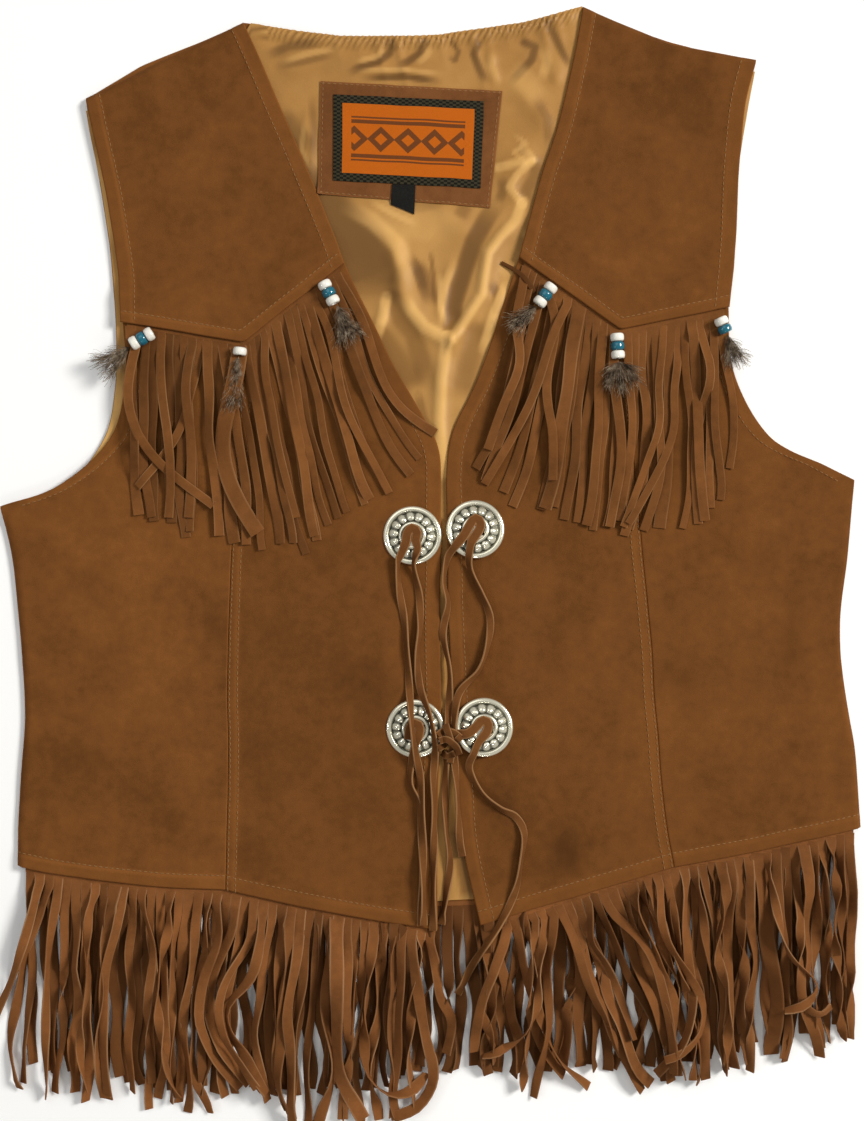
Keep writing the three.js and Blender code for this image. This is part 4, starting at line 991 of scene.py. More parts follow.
yokeRows = np.concatenate([np.linspace(0, 0.16, 8), np.linspace(0.2, 4.9, 84), [4.94, 4.965, 4.985, 5]])
for side in ("right", "left"):
    addPanel(f"yoke_{side}_suede", f"yoke_{side}", {
        "sections": yokeSections[side], "rows": yokeRows, "width": 140, "fine": 2.1, "thick": thick["yoke"],
        "under": yokeUnder, "finish": "suedeYoke" + side.capitalize(), "slot": "suede",
        "seams": table("edge at rise clear", [
            ("end", 7.6, 0.45, 3), ("outer", 9.8, 0.4, 3), ("inner", 9.0, 0.45, 3)]),
    })
print("fronts and yokes sewn")


def reachOf(points):  # how far along a line each of its points is
    return np.concatenate([[0], np.cumsum(np.linalg.norm(np.diff(points, axis=0), axis=1))])


def planReach(x, y):
    return np.concatenate([[0], np.cumsum(np.hypot(np.diff(x), np.diff(y)))])


def sideways(x, y):  # the way across a line, seen from above
    tx, ty = np.gradient(x), np.gradient(y)
    long = np.maximum(np.hypot(tx, ty), 1e-6)
    return -ty / long, tx / long


def atHeight(line, z):
    return np.concatenate([line, z[:, None]], 1)


# A map of how high the vest stands, which later pieces are laid on
class Relief:
    def __init__(self, low, high, step):
        self.low, self.step = np.array(low, float), step
        self.size = np.ceil((np.array(high) - self.low) / step).astype(int) + 1
        self.height = np.zeros(self.size)

    def cells(self, x, y):
        i = np.clip(np.round((x - self.low[0]) / self.step).astype(int), 0, self.size[0] - 1)
        j = np.clip(np.round((y - self.low[1]) / self.step).astype(int), 0, self.size[1] - 1)
        return i, j

    def at(self, x, y):
        return self.height[self.cells(np.asarray(x, float), np.asarray(y, float))]

    def cover(self, piece):
        mesh = piece.data
        tree = BVHTree.FromPolygons([v.co for v in mesh.vertices], [tuple(p.vertices) for p in mesh.polygons])
        corners = np.array([v.co for v in mesh.vertices]) * 1000 - shift
        low, high = corners.min(0), corners.max(0)
        (i0, j0), (i1, j1) = self.cells(low[0], low[1]), self.cells(high[0], high[1])
        down = Vector((0, 0, -1))
        for i in range(i0, i1 + 1):
            for j in range(j0, j1 + 1):
                x, y = self.low[0] + i * self.step, self.low[1] + j * self.step
                hit = tree.ray_cast(Vector((*metres((x, y, 0))[:2], 0.2)), down)[0]
                if hit:
                    self.height[i, j] = max(self.height[i, j], hit.z * 1000)

    def press(self, line, half, high):
        reached = planReach(line[:, 0], line[:, 1])
        at = np.arange(0, reached[-1], self.step * 0.7)
        x, y, z = (np.interp(at, reached, line[:, k]) for k in range(3))
        acrossX, acrossY = sideways(x, y)
        for k in np.arange(-half, half + 0.01, self.step * 0.8):
            np.maximum.at(self.height, self.cells(x + acrossX * k, y + acrossY * k), z + high)


relief = Relief((-320, -140), (300, 620), 1.25)
for name in ("back_suede", "lining_satin"):
    relief.cover(panels[name])
print("relief ready")


def settle(line, half, start=None, slope=0.45, clear=0.15):  # the height at which a strip lies on the vest
    x, y = line[:, 0], line[:, 1]
    acrossX, acrossY = sideways(x, y)
    raw = np.max([relief.at(x + acrossX * k, y + acrossY * k)
                  for k in (-half, -half / 2, 0, half / 2, half)], 0)
    raw = raw + clear
    if start is not None:
        raw[:2] = start
    reached = planReach(x, y)
    lift = np.max(raw[None, :] - slope * np.abs(reached[:, None] - reached[None, :]), 1)
    for _ in range(2):
        soft = lift.copy()
        soft[1:-1] = (lift[:-2] + 2 * lift[1:-1] + lift[2:]) / 4
        lift = np.maximum(soft, raw)
    if start is not None:
        lift[0] = start
    return lift


# A flat strip along a line, with rounded cut edges; turns are in radians at each point
def ribbon(line, half, high, turns, taper=None, span=None):
    count = len(line)
    tangent = np.gradient(line, axis=0)
    tangent /= np.maximum(np.linalg.norm(tangent, axis=1, keepdims=True), 1e-9)
    side = np.cross(np.array([0, 0, 1.0]), tangent)
    side /= np.maximum(np.linalg.norm(side, axis=1, keepdims=True), 1e-9)
    up = np.cross(tangent, side)
    c, s = np.cos(turns)[:, None], np.sin(turns)[:, None]
    side, up = side * c + up * s, up * c - side * s
    w, h, r = half, high / 2, min(0.42, half * 0.2)
    shape = np.array([(-w, -h * 0.5), (-w + r, -h), (0, -h * 0.9), (w - r, -h), (w, -h * 0.5),
                      (w, h * 0.5), (w - r, h * 0.96), (w * 0.72, h * 1.03), (-w * 0.72, h * 1.03),
                      (-w + r, h * 0.96), (-w, h * 0.5)])
    edge = np.array([1, 0.4, 0, 0.4, 1, 1, 0.7, 0, 0, 0.7, 1.0])
    size = np.ones(count) if taper is None else taper
    points = (line[:, None, :] + side[:, None, :] * (shape[None, :, 0:1] * size[:, None, None])
              + up[:, None, :] * shape[None, :, 1:2])
    if span:
        points = points[span[0]:span[1] + 1]
        count = len(points)
    k = len(shape)
    faces = []
    for i in range(count - 1):
        for j in range(k):
            a, b = i * k + j, i * k + (j + 1) % k
            faces.append((a, b, b + k, a + k))
    faces.append(tuple(range(k - 1, -1, -1)))
    faces.append(tuple(range((count - 1) * k, count * k)))
    return points.reshape(-1, 3), faces, np.tile(edge, count)


def stripPiece(node, ending, parts, finish, slotName):
    points, faces, attributes = joined(parts)
    return dress(closeMesh(node + ending, points, faces, finish, attributes), node, slotName)


def joined(parts):
    points, faces, wear, shade, start = [], [], [], [], 0
    for p, f, e, dark in parts:
        points.append(p)
        faces.extend(tuple(v + start for v in face) for face in f)
        wear.append(e)
        shade.append(np.full(len(p), dark))
        start += len(p)
    return np.concatenate(points), faces, {"wear": np.concatenate(wear), "shade": np.concatenate(shade)}


def smoothLine(points, count):
    points = np.array(points, float)
    rows = [points[0] * 2 - points[1], *points, points[-1] * 2 - points[-2]]
    dense = []
    for i in range(len(points) - 1):
        for t in np.linspace(0, 1, 24, endpoint=False):
            dense.append(curveThrough(rows[i], rows[i + 1], rows[i + 2], rows[i + 3], t))
    dense = np.array(dense + [points[-1]])
    reached = reachOf(dense)
    at = np.linspace(0, reached[-1], count)
    return np.stack([np.interp(at, reached, dense[:, k]) for k in range(dense.shape[1])], -1)


# Fringes
def hemEdge(side):
    s = np.linspace(0, 1, 6)
    a = np.stack(across(readTable(sideSections[side], 0), s), -1)
    b = np.stack(across(readTable(centreSections[side], 0), s), -1)
    return np.concatenate([a, b[1:]])


def yokeEdge(side):
    row = yokeSections[side][-1]
    return np.array([row["outer"], row["peak"], row["inner"]], float)


fringeKinds = {
    "floor": {"tuck": 0.5, "drop": 3, "width": 7.6, "ends": (0.01, 0.99), "uneven": 10, "loft": 1.5, "calm": 2,
              "swing": 20},
    "low": {"tuck": 7, "drop": 3, "width": 6.8, "ends": (0.02, 0.995), "uneven": 12, "loft": 3.6, "calm": 3,
            "swing": 36},
    "yoke": {"tuck": 6, "drop": 2.5, "width": 6.1, "ends": (0.025, 0.975), "uneven": 9, "loft": 2.6, "calm": 6,
             "swing": 9, "wave": 2.5},
}
# Bunches are where along the fringe, how wide, and how tightly they pull; strays are laid one by one
fringes = [
    {
        # The back fringe's dark is painted shade, as it lies under the fronts' fringes
        "name": "hem_fringe_back", "kind": "floor", "count": 80, "seed": 500, "wave": 4.2, "dark": 0.5,
        "wide": {}, "strays": {},
        "tips": [((-268, -90), 2), ((-200, -99), -3), ((-135, -103), 3), ((-65, -104), -3), ((0, -92), 2),
                 ((65, -92), -3), ((135, -90), 3), ((200, -78), -3), ((266, -60), 2)],
        "bunches": [(0.06, 0.05, 0.3), (0.17, 0.05, 0.3), (0.3, 0.06, 0.3), (0.43, 0.05, 0.4), (0.56, 0.06, 0.4),
                    (0.68, 0.05, 0.3), (0.8, 0.06, 0.3), (0.93, 0.05, 0.3)],
    },
    {
        "name": "hem_fringe_front_right", "kind": "low", "count": 44, "seed": 300, "wave": 4.4, "dark": 0.0,
        "wide": {9: 1.4, 33: 1.4},
        "tips": [((-276, -101), -2), ((-245, -110), 3), ((-213, -107), -3), ((-184, -114), 3), ((-158, -115), -4),
                 ((-126, -108), -8), ((-98, -123), -3), ((-69, -127), 4), ((-38, -126), -4), ((-4, -108), 3)],
        "strays": {
            1: [(-270, -10), (-279, -34), (-292, -60), (-303, -84)],
            2: [(-268, -12), (-275, -44), (-281, -76), (-274, -104)],
            7: [(-228, 10), (-226, -30), (-232, -70), (-229, -104)],
            12: [(-190, 6), (-184, -8), (-185, -26), (-190, -60), (-187, -100)],
            15: [(-174, 2), (-180, -18), (-181, -50), (-177, -84), (-170, -108)],
            20: [(-142, -4), (-153, -30), (-155, -56), (-148, -80), (-130, -103)],
            22: [(-134, 0), (-147, -26), (-150, -52), (-142, -76), (-124, -100)],
            24: [(-122, -6), (-136, -26), (-143, -48), (-136, -74), (-118, -100)],
            25: [(-117, -14), (-124, -34), (-138, -46), (-134, -68), (-112, -104)],
            33: [(-66, -40), (-66, -84), (-60, -104), (-50, -124)],
            37: [(-46, -30), (-49, -64), (-47, -92), (-34, -106), (-16, -105), (-9, -94)],
            41: [(-14, -40), (-9, -72), (-3, -93), (-9, -111), (-20, -119), (-32, -121)],
            43: [(-3, -22), (0, -44), (8, -58), (4, -80)]},
        "bunches": [(0.05, 0.07, 0.6), (0.2, 0.08, 0.7), (0.36, 0.07, 0.65), (0.52, 0.08, 0.75),
                    (0.66, 0.07, 0.55), (0.8, 0.07, 0.75), (0.93, 0.07, 0.65)],
    },
    {
        "name": "hem_fringe_front_left", "kind": "low", "count": 41, "seed": 400, "wave": 4.6, "dark": 0.12,
        "wide": {10: 1.45, 24: 1.5},
        "tips": [((274, -69), 3), ((246, -79), -3), ((218, -86), 4), ((195, -89), -3), ((178, -94), 3),
                 ((163, -97), 5), ((148, -98), 3), ((133, -103), -3), ((98, -103), -5), ((24, -80), -5)],
        "strays": {
            6: [(232, 10), (232, -40), (240, -52), (246, -55), (253, -48)],
            9: [(216, 20), (224, -14), (243, -30), (238, -44), (222, -50)],
            14: [(186, 18), (178, -10), (186, -44), (184, -90)],
            18: [(158, 0), (163, -40), (158, -66), (140, -92)],
            21: [(142, 10), (146, -6), (160, -26), (171, -50), (164, -70), (144, -80)],
            27: [(112, 10), (128, -2), (140, -24), (148, -60), (150, -90)],
            29: [(97, -6), (106, -18), (115, -38), (126, -70)],
            33: [(69, -24), (71, -56), (66, -84), (61, -110)],
            34: [(64, -20), (62, -48), (52, -68), (38, -77), (28, -80)],
            35: [(58, -26), (58, -56), (55, -84), (54, -104)],
            38: [(36, -20), (27, -42), (23, -64), (22, -78)]},
        "bunches": [(0.06, 0.07, 0.6), (0.2, 0.08, 0.65), (0.36, 0.08, 0.7), (0.52, 0.07, 0.7), (0.66, 0.07, 0.6),
                    (0.79, 0.07, 0.65), (0.92, 0.08, 0.7)],
    },
    {
        "name": "yoke_fringe_right", "kind": "yoke", "count": 31, "seed": 100, "dark": 0.0,
        "wide": {11: 1.35, 14: 1.75},
        "tips": [((-199, 271), -2), ((-181, 263), -2), ((-163, 257), 1), ((-133, 251), 2), ((-101, 248), 2),
                 ((-82, 249), 0), ((-61, 273), -2), ((-33, 285), -4), ((-2, 321), -6)],
        "strays": {
            1: [(-203, 348), (-196, 324), (-184, 305), (-166, 290), (-147, 276)],
            4: [(-181, 352), (-177, 326), (-174, 300), (-176, 268)],
            8: [(-165, 355), (-162, 330), (-161, 300), (-163, 268)],
            9: [(-160, 355), (-168, 325), (-181, 306), (-196, 288)],
            14: [(-133, 352), (-140, 330), (-141, 306), (-133, 282), (-118, 258)],
            18: [(-114, 360), (-109, 342), (-106, 320), (-101, 298), (-93, 268)],
            26: [(-72, 392), (-66, 360), (-61, 338), (-49, 314), (-40, 298), (-33, 284)],
            28: [(-62, 388), (-50, 356), (-34, 316), (-19, 296)],
            30: [(-50, 396), (-38, 358), (-25, 338), (-3, 323)]},
        "bunches": [(0.08, 0.09, 0.35), (0.28, 0.1, 0.4), (0.48, 0.09, 0.5), (0.66, 0.1, 0.4), (0.85, 0.1, 0.5)],
    },
    {
        "name": "yoke_fringe_left", "kind": "yoke", "count": 31, "seed": 200, "dark": 0.0,
        "wide": {7: 1.4, 21: 1.5}, "tails": [[(61, 414), (56, 422), (49, 429), (40, 434)]],
        "tips": [((191, 298), 0), ((171, 264), 1), ((143, 262), 5), ((123, 261), 5), ((106, 261), 1),
                 ((83, 269), 0), ((59, 277), 1), ((34, 286), 2), ((20, 318), 4)],
        "strays": {
            0: [(184, 372), (190, 348), (191, 320), (188, 300)],
            3: [(172, 376), (177, 362), (169, 336), (165, 305), (168, 264)],
            4: [(166, 370), (167, 335), (168, 300), (172, 266)],
            6: [(155, 366), (150, 348), (154, 330), (147, 310), (133, 282), (122, 264)],
            8: [(143, 366), (140, 350), (144, 332), (137, 312), (130, 292), (119, 262)],
            13: [(122, 358), (125, 332), (122, 300), (116, 266)],
            15: [(112, 360), (116, 335), (118, 306), (114, 284), (110, 262)],
            23: [(72, 385), (62, 350), (48, 322), (29, 290)],
            26: [(76, 398), (72, 374), (68, 350), (73, 325), (73, 292)],
            30: [(53, 412), (48, 394), (53, 368), (43, 346), (31, 312)]},
        "bunches": [(0.1, 0.1, 0.4), (0.3, 0.1, 0.5), (0.5, 0.1, 0.45), (0.7, 0.1, 0.5), (0.9, 0.1, 0.45)],
    },
]
fringes = [{**fringeKinds[row["kind"]], **row} for row in fringes]
fringes[0]["edge"] = np.stack(across(readTable(backSections, 0), np.array(crownAlong)), -1)
for plan, side in zip(fringes[1:], ("right", "left", "right", "left")):
    plan["edge"] = hemEdge(side) if plan["kind"] == "low" else yokeEdge(side)


def walk(points, u):
    reached = reachOf(points)
    return np.array([np.interp(u * reached[-1], reached, points[:, k]) for k in range(2)])


def edgePoint(plan, k):
    return walk(plan["edge"], blend(*plan["ends"], k / plan["count"]))


def tipRow(plan, share):
    rows = [{"tip": tip, "bend": bend} for tip, bend in plan["tips"]]
    row = readTable(rows, min(1, max(0, share)) * (len(rows) - 1))
    return row["tip"], float(row["bend"])


def freeLine(plan, share, v, seed=None):
    root = edgePoint(plan, share * plan["count"]) - (0, plan["drop"])
    tip, bend = tipRow(plan, share)
    ahead = (tip - root) / np.linalg.norm(tip - root)
    side = np.array([-ahead[1], ahead[0]])
    out = bend * 27 / 4 * (1 - v) * v ** 2
    reach = np.zeros_like(v)
    if seed is not None:
        a, b, c = (chance(seed + k) for k in (0, 50, 150))
        wave = plan["wave"]
        out = out + wave * v * (np.sin(v * (4.5 + 4 * b) + a * 6.28) * 0.75 + (c - 0.5) * 1.7)
        out = out + wave * 0.32 * np.minimum(v * 2, 1) * np.sin(v * (11 + 6 * a) + c * 6.28)
        out = out + wave * 1.6 * (a - 0.5) * np.clip(v - 0.72, 0, 1) / 0.28 * v
        reach = (b - 0.5) * plan["uneven"] * v
    return root + (tip - root) * v[:, None] + side * out[:, None] + ahead * reach[:, None]


def strandLine(plan, i, count):
    v = np.linspace(0, 1, count)
    share = (i + 0.5) / plan["count"]
    seed = plan["seed"] + i
    line = freeLine(plan, share, v, seed)
    stray = plan["strays"].get(i)
    if stray:
        start = freeLine(plan, share, np.array([0, 0.06]))
        line = smoothLine([*start, *stray], count)
        for _ in range(plan["calm"]):
            line[2:-1] = (line[1:-2] + line[2:-1] * 2 + line[3:]) / 4
        return line
    for at, half, pull in plan["bunches"]:
        weight = float(ease((half - abs(share - at)) / half * 1.6))
        if weight > 0:
            heart = freeLine(plan, at, v)
            tight = pull * weight * (0.45 + 0.6 * chance(seed + 9)) * ease(v / 0.55)
            tight = tight * (1 - 0.45 * ease((v - 0.7) / 0.3))
            line = line + (heart - line) * np.minimum(tight, 0.85)[:, None]
    return line


# Strands; none stands higher over the floor than the top
strand = {
    "steps": 24, "top": 22.5, "yokeThick": 0.8, "press": 0.7, "slant": 0.8, "edgeUp": 0.85, "roll": 0.82,
    "root": 1.2, "tail": 1.9, "tailSteps": 8, "floor": 0.4, "over": 0.25,
}


def stripPart(plan, make):  # the uncut strip behind the edge, and its heights
    rows = []
    for k in range(plan["count"] * 2 + 1):
        edge = edgePoint(plan, k / 2)
        inner, outer = edge + (0, plan["tuck"]), edge - (0, plan["drop"])
        if plan["kind"] == "yoke":
            z = max(float(relief.at(*inner)), float(relief.at(*outer))) + make["over"]
        else:
            z = make["floor"] if plan["kind"] == "floor" else frontLevel
        rows.append((inner, outer, z))
    z = np.array([row[2] for row in rows])
    z = np.maximum(z, np.convolve(np.pad(z, 2, "edge"), np.ones(5) / 5, "valid"))
    shares = np.array([0, 0.1, 0.5, 0.9, 1.0])
    x, y = (np.array([[blend(row[0][k], row[1][k], s) for s in shares] for row in rows]) for k in (0, 1))
    x, y = weaveShift(x, y)
    low = np.repeat(z[:, None], len(shares), 1)
    points = twoFaces(x, y, low + thick["strand"], low)
    faces = [tuple(face) for face in wallFaces(*x.shape, gridTurned(x, y))]
    return (points, faces, np.zeros(len(points)), 0.0), z


def strandPart(plan, i, rank, start, make):
    seed = plan["seed"] + i
    far, slow, late, rolls, rollLate, end, worn, dark, deep = (chance(seed + k) for k in range(21, 30))
    loft, streak = chance(seed + 33), chance(seed + 35)
    yoke = plan["kind"] == "yoke"
    plain = strandLine(plan, i, make["steps"])
    half = plan["width"] / 2 * plan["wide"].get(i, 0.82 + 0.3 * chance(seed + 31))
    v = np.linspace(0, 1, make["steps"])
    swing = math.radians(plan["swing"] * (1 + 2.6 * far ** 2))
    turns = swing * np.sin(v * (4 + 5 * slow) + 6.28 * late) * ease(v / 0.12)
    if rolls > make["roll"] and not yoke:
        turns = turns + math.pi * ease((v - 0.2 - 0.4 * rollLate) / 0.35)
    upright = np.abs(np.sin(turns)) * half
    lift = settle(plain, half * make["slant"], start=start) + upright * make["edgeUp"]
    lift = lift + plan["loft"] * loft ** 1.5 * np.sin(np.pi * np.minimum(v * 1.15, 1))
    lift = np.minimum(lift, make["top"] - upright)
    first = edgePoint(plan, i + 0.5) - (0, plan["drop"] - make["root"])
    line = atHeight(plain, lift + thick["strand"] / 2)
    line = np.concatenate([[[*first, start + thick["strand"] / 2]], line])
    turns = np.concatenate([[0], turns])
    size = np.concatenate([[1.12, 1.1], np.linspace(1.0, 0.92 + 0.12 * end, make["steps"] - 1)])
    high = thick["strand"] * (make["yokeThick"] if yoke else 1.0)
    points, faces, edge = ribbon(line, half, high, turns, size)
    rubbed = 0.6 + 0.4 * np.sin(np.linspace(0, 9, len(line)) + 6.28 * streak)
    edge = edge * np.repeat(rubbed, len(edge) // len(line)) * (0.35 + 0.65 * worn)
    # Painted shade: strands laid first lie lowest, under the others, and are darker the lower they lie; the
    # plan's dark is painted shade on the back fringe and a darker tone on the left front one; the last term is a
    # random tone
    shade = 0.4 * (1 - rank / plan["count"]) * deep
    relief.press(line[3:] - (0, 0, thick["strand"] / 2), half * make["press"], thick["strand"])
    return points, faces, edge, plan["dark"] + shade + 0.3 * dark ** 2


def tailPart(tail, make):  # a short end that sticks out past the front
    plain = smoothLine(tail, make["tailSteps"])
    line = atHeight(plain, settle(plain, 1.4) + thick["strand"] / 2)
    level, taper = np.zeros(make["tailSteps"]), np.linspace(1, 0.6, make["tailSteps"])
    points, faces, edge = ribbon(line, make["tail"], thick["strand"], level, taper)
    # 0.75 is painted shade: the tail stands for a strand end lying in shadow
    return points, faces, edge * 0.3, 0.75


def makeFringe(plan, make):
    strip, z = stripPart(plan, make)
    order = sorted(range(plan["count"]), key=lambda i: (i in plan["strays"], chance(plan["seed"] + i + 700)))
    strands = [strandPart(plan, i, rank, z[2 * i + 1], make) for rank, i in enumerate(order)]
    tails = [tailPart(tail, make) for tail in plan.get("tails", [])]
    finish = "yokeStrand" if plan["kind"] == "yoke" else "strandSuede"
    return stripPiece(plan["name"], "_strands", [strip, *strands, *tails], finish, "fringe_suede")


fringePieces = {plan["name"]: makeFringe(plan, strand) for plan in fringes[:3]}
for side in ("right", "left"):
    relief.cover(panels[f"front_side_{side}_suede"])
    relief.cover(panels[f"front_centre_{side}_suede"])
for plan in fringes[3:]:
    fringePieces[plan["name"]] = makeFringe(plan, strand)
for side in ("right", "left"):
    relief.cover(panels[f"yoke_{side}_suede"])
print("fringes cut")


# Label, a suede patch and a tab
labelPieces = table("name node corners cells thick lift bulge finish slot", [
    ("label_patch_suede", "label_patch", [(-78, 552.5), (40.5, 546), (32.5, 470), (-79.5, 479)], (60, 40),
     1.1, 0.15, 0.25, "suedePatch", "suede"),
    ("label_woven_cloth", "label_woven", [(-69.5, 543.5), (28.5, 539), (26.5, 482.5), (-69.5, 487.5)],
     (50, 34), 0.7, 0.15, 0.2, "label", "woven_label"),
    ("size_tab_tape", "size_tab", [(-31, 485.1), (-16, 484.4), (-17, 465.5), (-32, 472)], (8, 12), 0.8, 0.3,
     0.0, "tape", "black_tape"),
])
patchSeam = {"in": 2.2, "sunk": 0.1, "steps": 30}


def patch(make):
    a, b, c, d = (np.array(p, float) for p in make["corners"])
    u, v = np.meshgrid(np.linspace(0, 1, make["cells"][0]), np.linspace(0, 1, make["cells"][1]))
    plan = (a + (b - a) * u[..., None]) * (1 - v[..., None]) + (d + (c - d) * u[..., None]) * v[..., None]
    x, y = plan[..., 0], plan[..., 1]
    edge = np.minimum.reduce([u, 1 - u, v, 1 - v])
    x, y = x + softNoise(x, y, 15, 21) * 0.25, y + softNoise(x, y, 15, 22) * 0.25
    level = np.max([relief.at(x + beside, y) for beside in (-1, 0, 1)], 0)
    for _ in range(6):
        padded = np.pad(level, 1, "edge")
        around = padded[:-2, 1:-1] + padded[2:, 1:-1] + padded[1:-1, :-2] + padded[1:-1, 2:]
        level = np.maximum(level, around / 4 - 0.02)
    low = level + make["lift"] + make["bulge"] * np.sin(np.clip(edge * 4, 0, 1) * 1.57)
    roll = make["thick"] * 0.3 * (1 - ease(edge / 0.02))
    points = twoFaces(x, y, low + make["thick"] - roll, low + roll)
    wear = np.clip(1 - edge / 0.012, 0, 1) * 0.6
    faces = wallFaces(*x.shape, gridTurned(x, y))
    piece = closeMesh(make["name"], points, faces, make["finish"], {
        "wear": np.tile(wear.ravel(), 2), "shade": np.zeros(points.shape[0])},
        uv=np.tile(np.stack([u.ravel(), v.ravel()], -1), (2, 1)))
    relief.cover(piece)
    return dress(piece, make["node"], make["slot"])


def stitchPatch(corners, make):
    middle = np.mean(corners, 0)
    loop = [np.array(p) + (middle - p) / np.linalg.norm(middle - p) * make["in"] for p in corners]
    for a, b in zip(loop, loop[1:] + loop[:1]):
        run = np.linspace(a, b, make["steps"])
        stitchRuns.append(atHeight(run, relief.at(run[:, 0], run[:, 1]) - make["sunk"]))


labelPatch = patch(labelPieces[0])
stitchPatch(labelPieces[0]["corners"], patchSeam)
labelWoven, sizeTab = (patch(row) for row in labelPieces[1:])
print("label sewn")

# Conchos
conchoShape = {
    "radii": (0, 6, 11.4, 16, 17, 19), "heights": (4.2, 4.0, 3.2, 1.3, 1.1, 1.0), "lip": 0.5,
    "rimAt": 17.3, "rimHalf": 1.7, "rimHigh": 1.35, "ringAt": 7.9, "ringHalf": 1.2, "ringHigh": 0.8,
    "bosses": 14, "bossFrom": 9.3, "bossLong": 5.9, "bossHigh": 1.25,
    "slotReach": 5, "slotWide": 2.8, "slotLong": 0.8, "slotDeep": 2.5, "rings": 60, "spokes": 168,
    "grooves": ((9.2, 0.75), (15.4, 0.7)), "between": (9.2, 15.3),
}
conchos = table("name at lean", [
    ("upper_right", (-18, 256.5), (0.05, -0.03)),
    ("upper_left", (23, 260.5), (-0.05, -0.10)),
    ("lower_right", (-16, 131), (0.05, 0.02)),
    ("lower_left", (28.5, 132), (-0.05, -0.09)),
])


def hump(r, at, half):
    return np.sqrt(np.clip(1 - ((r - at) / half) ** 2, 0, 1))


def conchoHeight(r, a, make):  # the stamped relief, and how dark it has gone in its grooves
    base = np.interp(r, make["radii"], make["heights"])
    rim = make["rimHigh"] * hump(r, make["rimAt"], make["rimHalf"])
    along = np.clip((r - make["bossFrom"]) / make["bossLong"], 0, 1)
    leaf = np.abs(np.cos(a * make["bosses"] / 2)) - 0.22 - 0.35 * (1 - np.sin(along * math.pi))
    boss = make["bossHigh"] * np.sqrt(np.clip(leaf, 0, 1)) * np.sin(along * math.pi) ** 0.6
    inner = make["ringHigh"] * hump(r, make["ringAt"], make["ringHalf"])
    slot = np.zeros_like(r)
    x, y = r * np.cos(a), r * np.sin(a)
    for side in (-1, 1):
        past = np.abs(x - side * make["slotReach"]) / make["slotLong"]
        far = np.maximum(past, np.abs(y) / make["slotWide"])
        slot = np.maximum(slot, ease((1.25 - far) / 0.3))
    inside, outside = (np.exp(-((r - at) / wide) ** 2) for at, wide in make["grooves"])
    low, high = make["between"]
    groove = inside + outside + np.where((r > low) & (r < high), np.clip(0.95 - leaf * 2.4, 0, 1), 0)
    # The grooves' darkness is tarnish; the slots' darkness is painted shade inside the lace slots
    return base + rim + boss + inner - slot * make["slotDeep"], np.clip(groove * 0.8 + slot, 0, 1)


def makeConcho(row, make):
    rings, spokes = make["rings"], make["spokes"]
    r = np.concatenate([[0.05], np.linspace(0.6, 18.6, rings - 4), [18.8, 18.93, 19.0]])
    a = np.linspace(0, 2 * math.pi, spokes, endpoint=False)
    rr, aa = np.meshgrid(r, a, indexing="ij")
    high, dark = conchoHeight(rr, aa + 0.11, make)
    high[-1] = make["lip"]
    x, y = rr * np.cos(aa), rr * np.sin(aa)
    high = high + x * row["lean"][0] + y * row["lean"][1]
    cx, cy = row["at"]
    around, out = np.meshgrid(np.linspace(0, 6.28, 24), (9, 15, 18.5))
    level = float(np.percentile(relief.at(cx + np.cos(around) * out, cy + np.sin(around) * out), 92)) + 0.1
    points = np.stack([x + cx, y + cy, high + level], -1).reshape(-1, 3)
    points = np.concatenate([points, [[cx, cy, level + make["heights"][0]]], np.stack([
        x[-1] * 0.985 + cx, y[-1] * 0.985 + cy, np.full(spokes, level)], -1), [[cx, cy, level]]])
    faces = []
    total = len(r) * spokes
    for i in range(len(r) - 1):
        for j in range(spokes):
            k = (j + 1) % spokes
            faces.append((i * spokes + j, (i + 1) * spokes + j, (i + 1) * spokes + k, i * spokes + k))
    for j in range(spokes):
        k = (j + 1) % spokes
        faces.append((total, j, k))
        last = (len(r) - 1) * spokes
        faces.append((last + j, total + 1 + j, total + 1 + k, last + k))
        faces.append((total + 1 + spokes, total + 1 + k, total + 1 + j))
    shade = np.concatenate([dark.ravel(), [0], np.full(spokes, 0.6), [0.6]])
    piece = closeMesh(f"concho_{row['name']}_silver", points, faces, "silver", {"shade": shade}, sharp=60)
    relief.cover(piece)
    return dress(piece, f"concho_{row['name']}", "silver")


for row in conchos:
    makeConcho(row, conchoShape)
print("conchos set")

# Lace loops, the knot and the tails
lace = {
    "half": 2.5, "high": 1.4, "press": 2.1, "rest": 1.9, "wide": 0.005, "step": 2.4, "twist": 64, "wave": 17,
    "swell": 0.24,
}
# Each arch runs over the middle of a concho, and its tails go on from its ends
lacings = [
    {"concho": "lower_right", "tails": [None, "lower_right"],
     "arch": [(-4.8, -6.5), (-4.0, -1.6), (-2.8, 2.4), (0.2, 4.0), (2.8, 1.6), (2.2, -4), (0.4, -9)]},
    {"concho": "lower_left", "tails": [None, "lower_left"],
     "arch": [(-19, -3.6), (-11, -3.6), (-5.4, 0.6), (-1.0, 5.0), (2.6, 3.0), (1.6, -2.6), (-3.4, -9)]},
    {"concho": "upper_right", "tails": ["upper_right_outer", "upper_right_inner"],
     "arch": [(-6.2, -10), (-4.2, -4.5), (-3.0, 1.8), (0.0, 4.8), (3.0, 2.2), (2.3, -3.5), (3.4, -8.6)]},
    {"concho": "upper_left", "tails": ["upper_left_inner", "upper_left_outer"],
     "arch": [(-14.0, -12), (-7.8, -4.4), (-3.8, 2.6), (-0.4, 7.0), (2.9, 5.0), (2.7, 0.4), (-0.6, -4.8),
              (-3.4, -10.6)]},
]
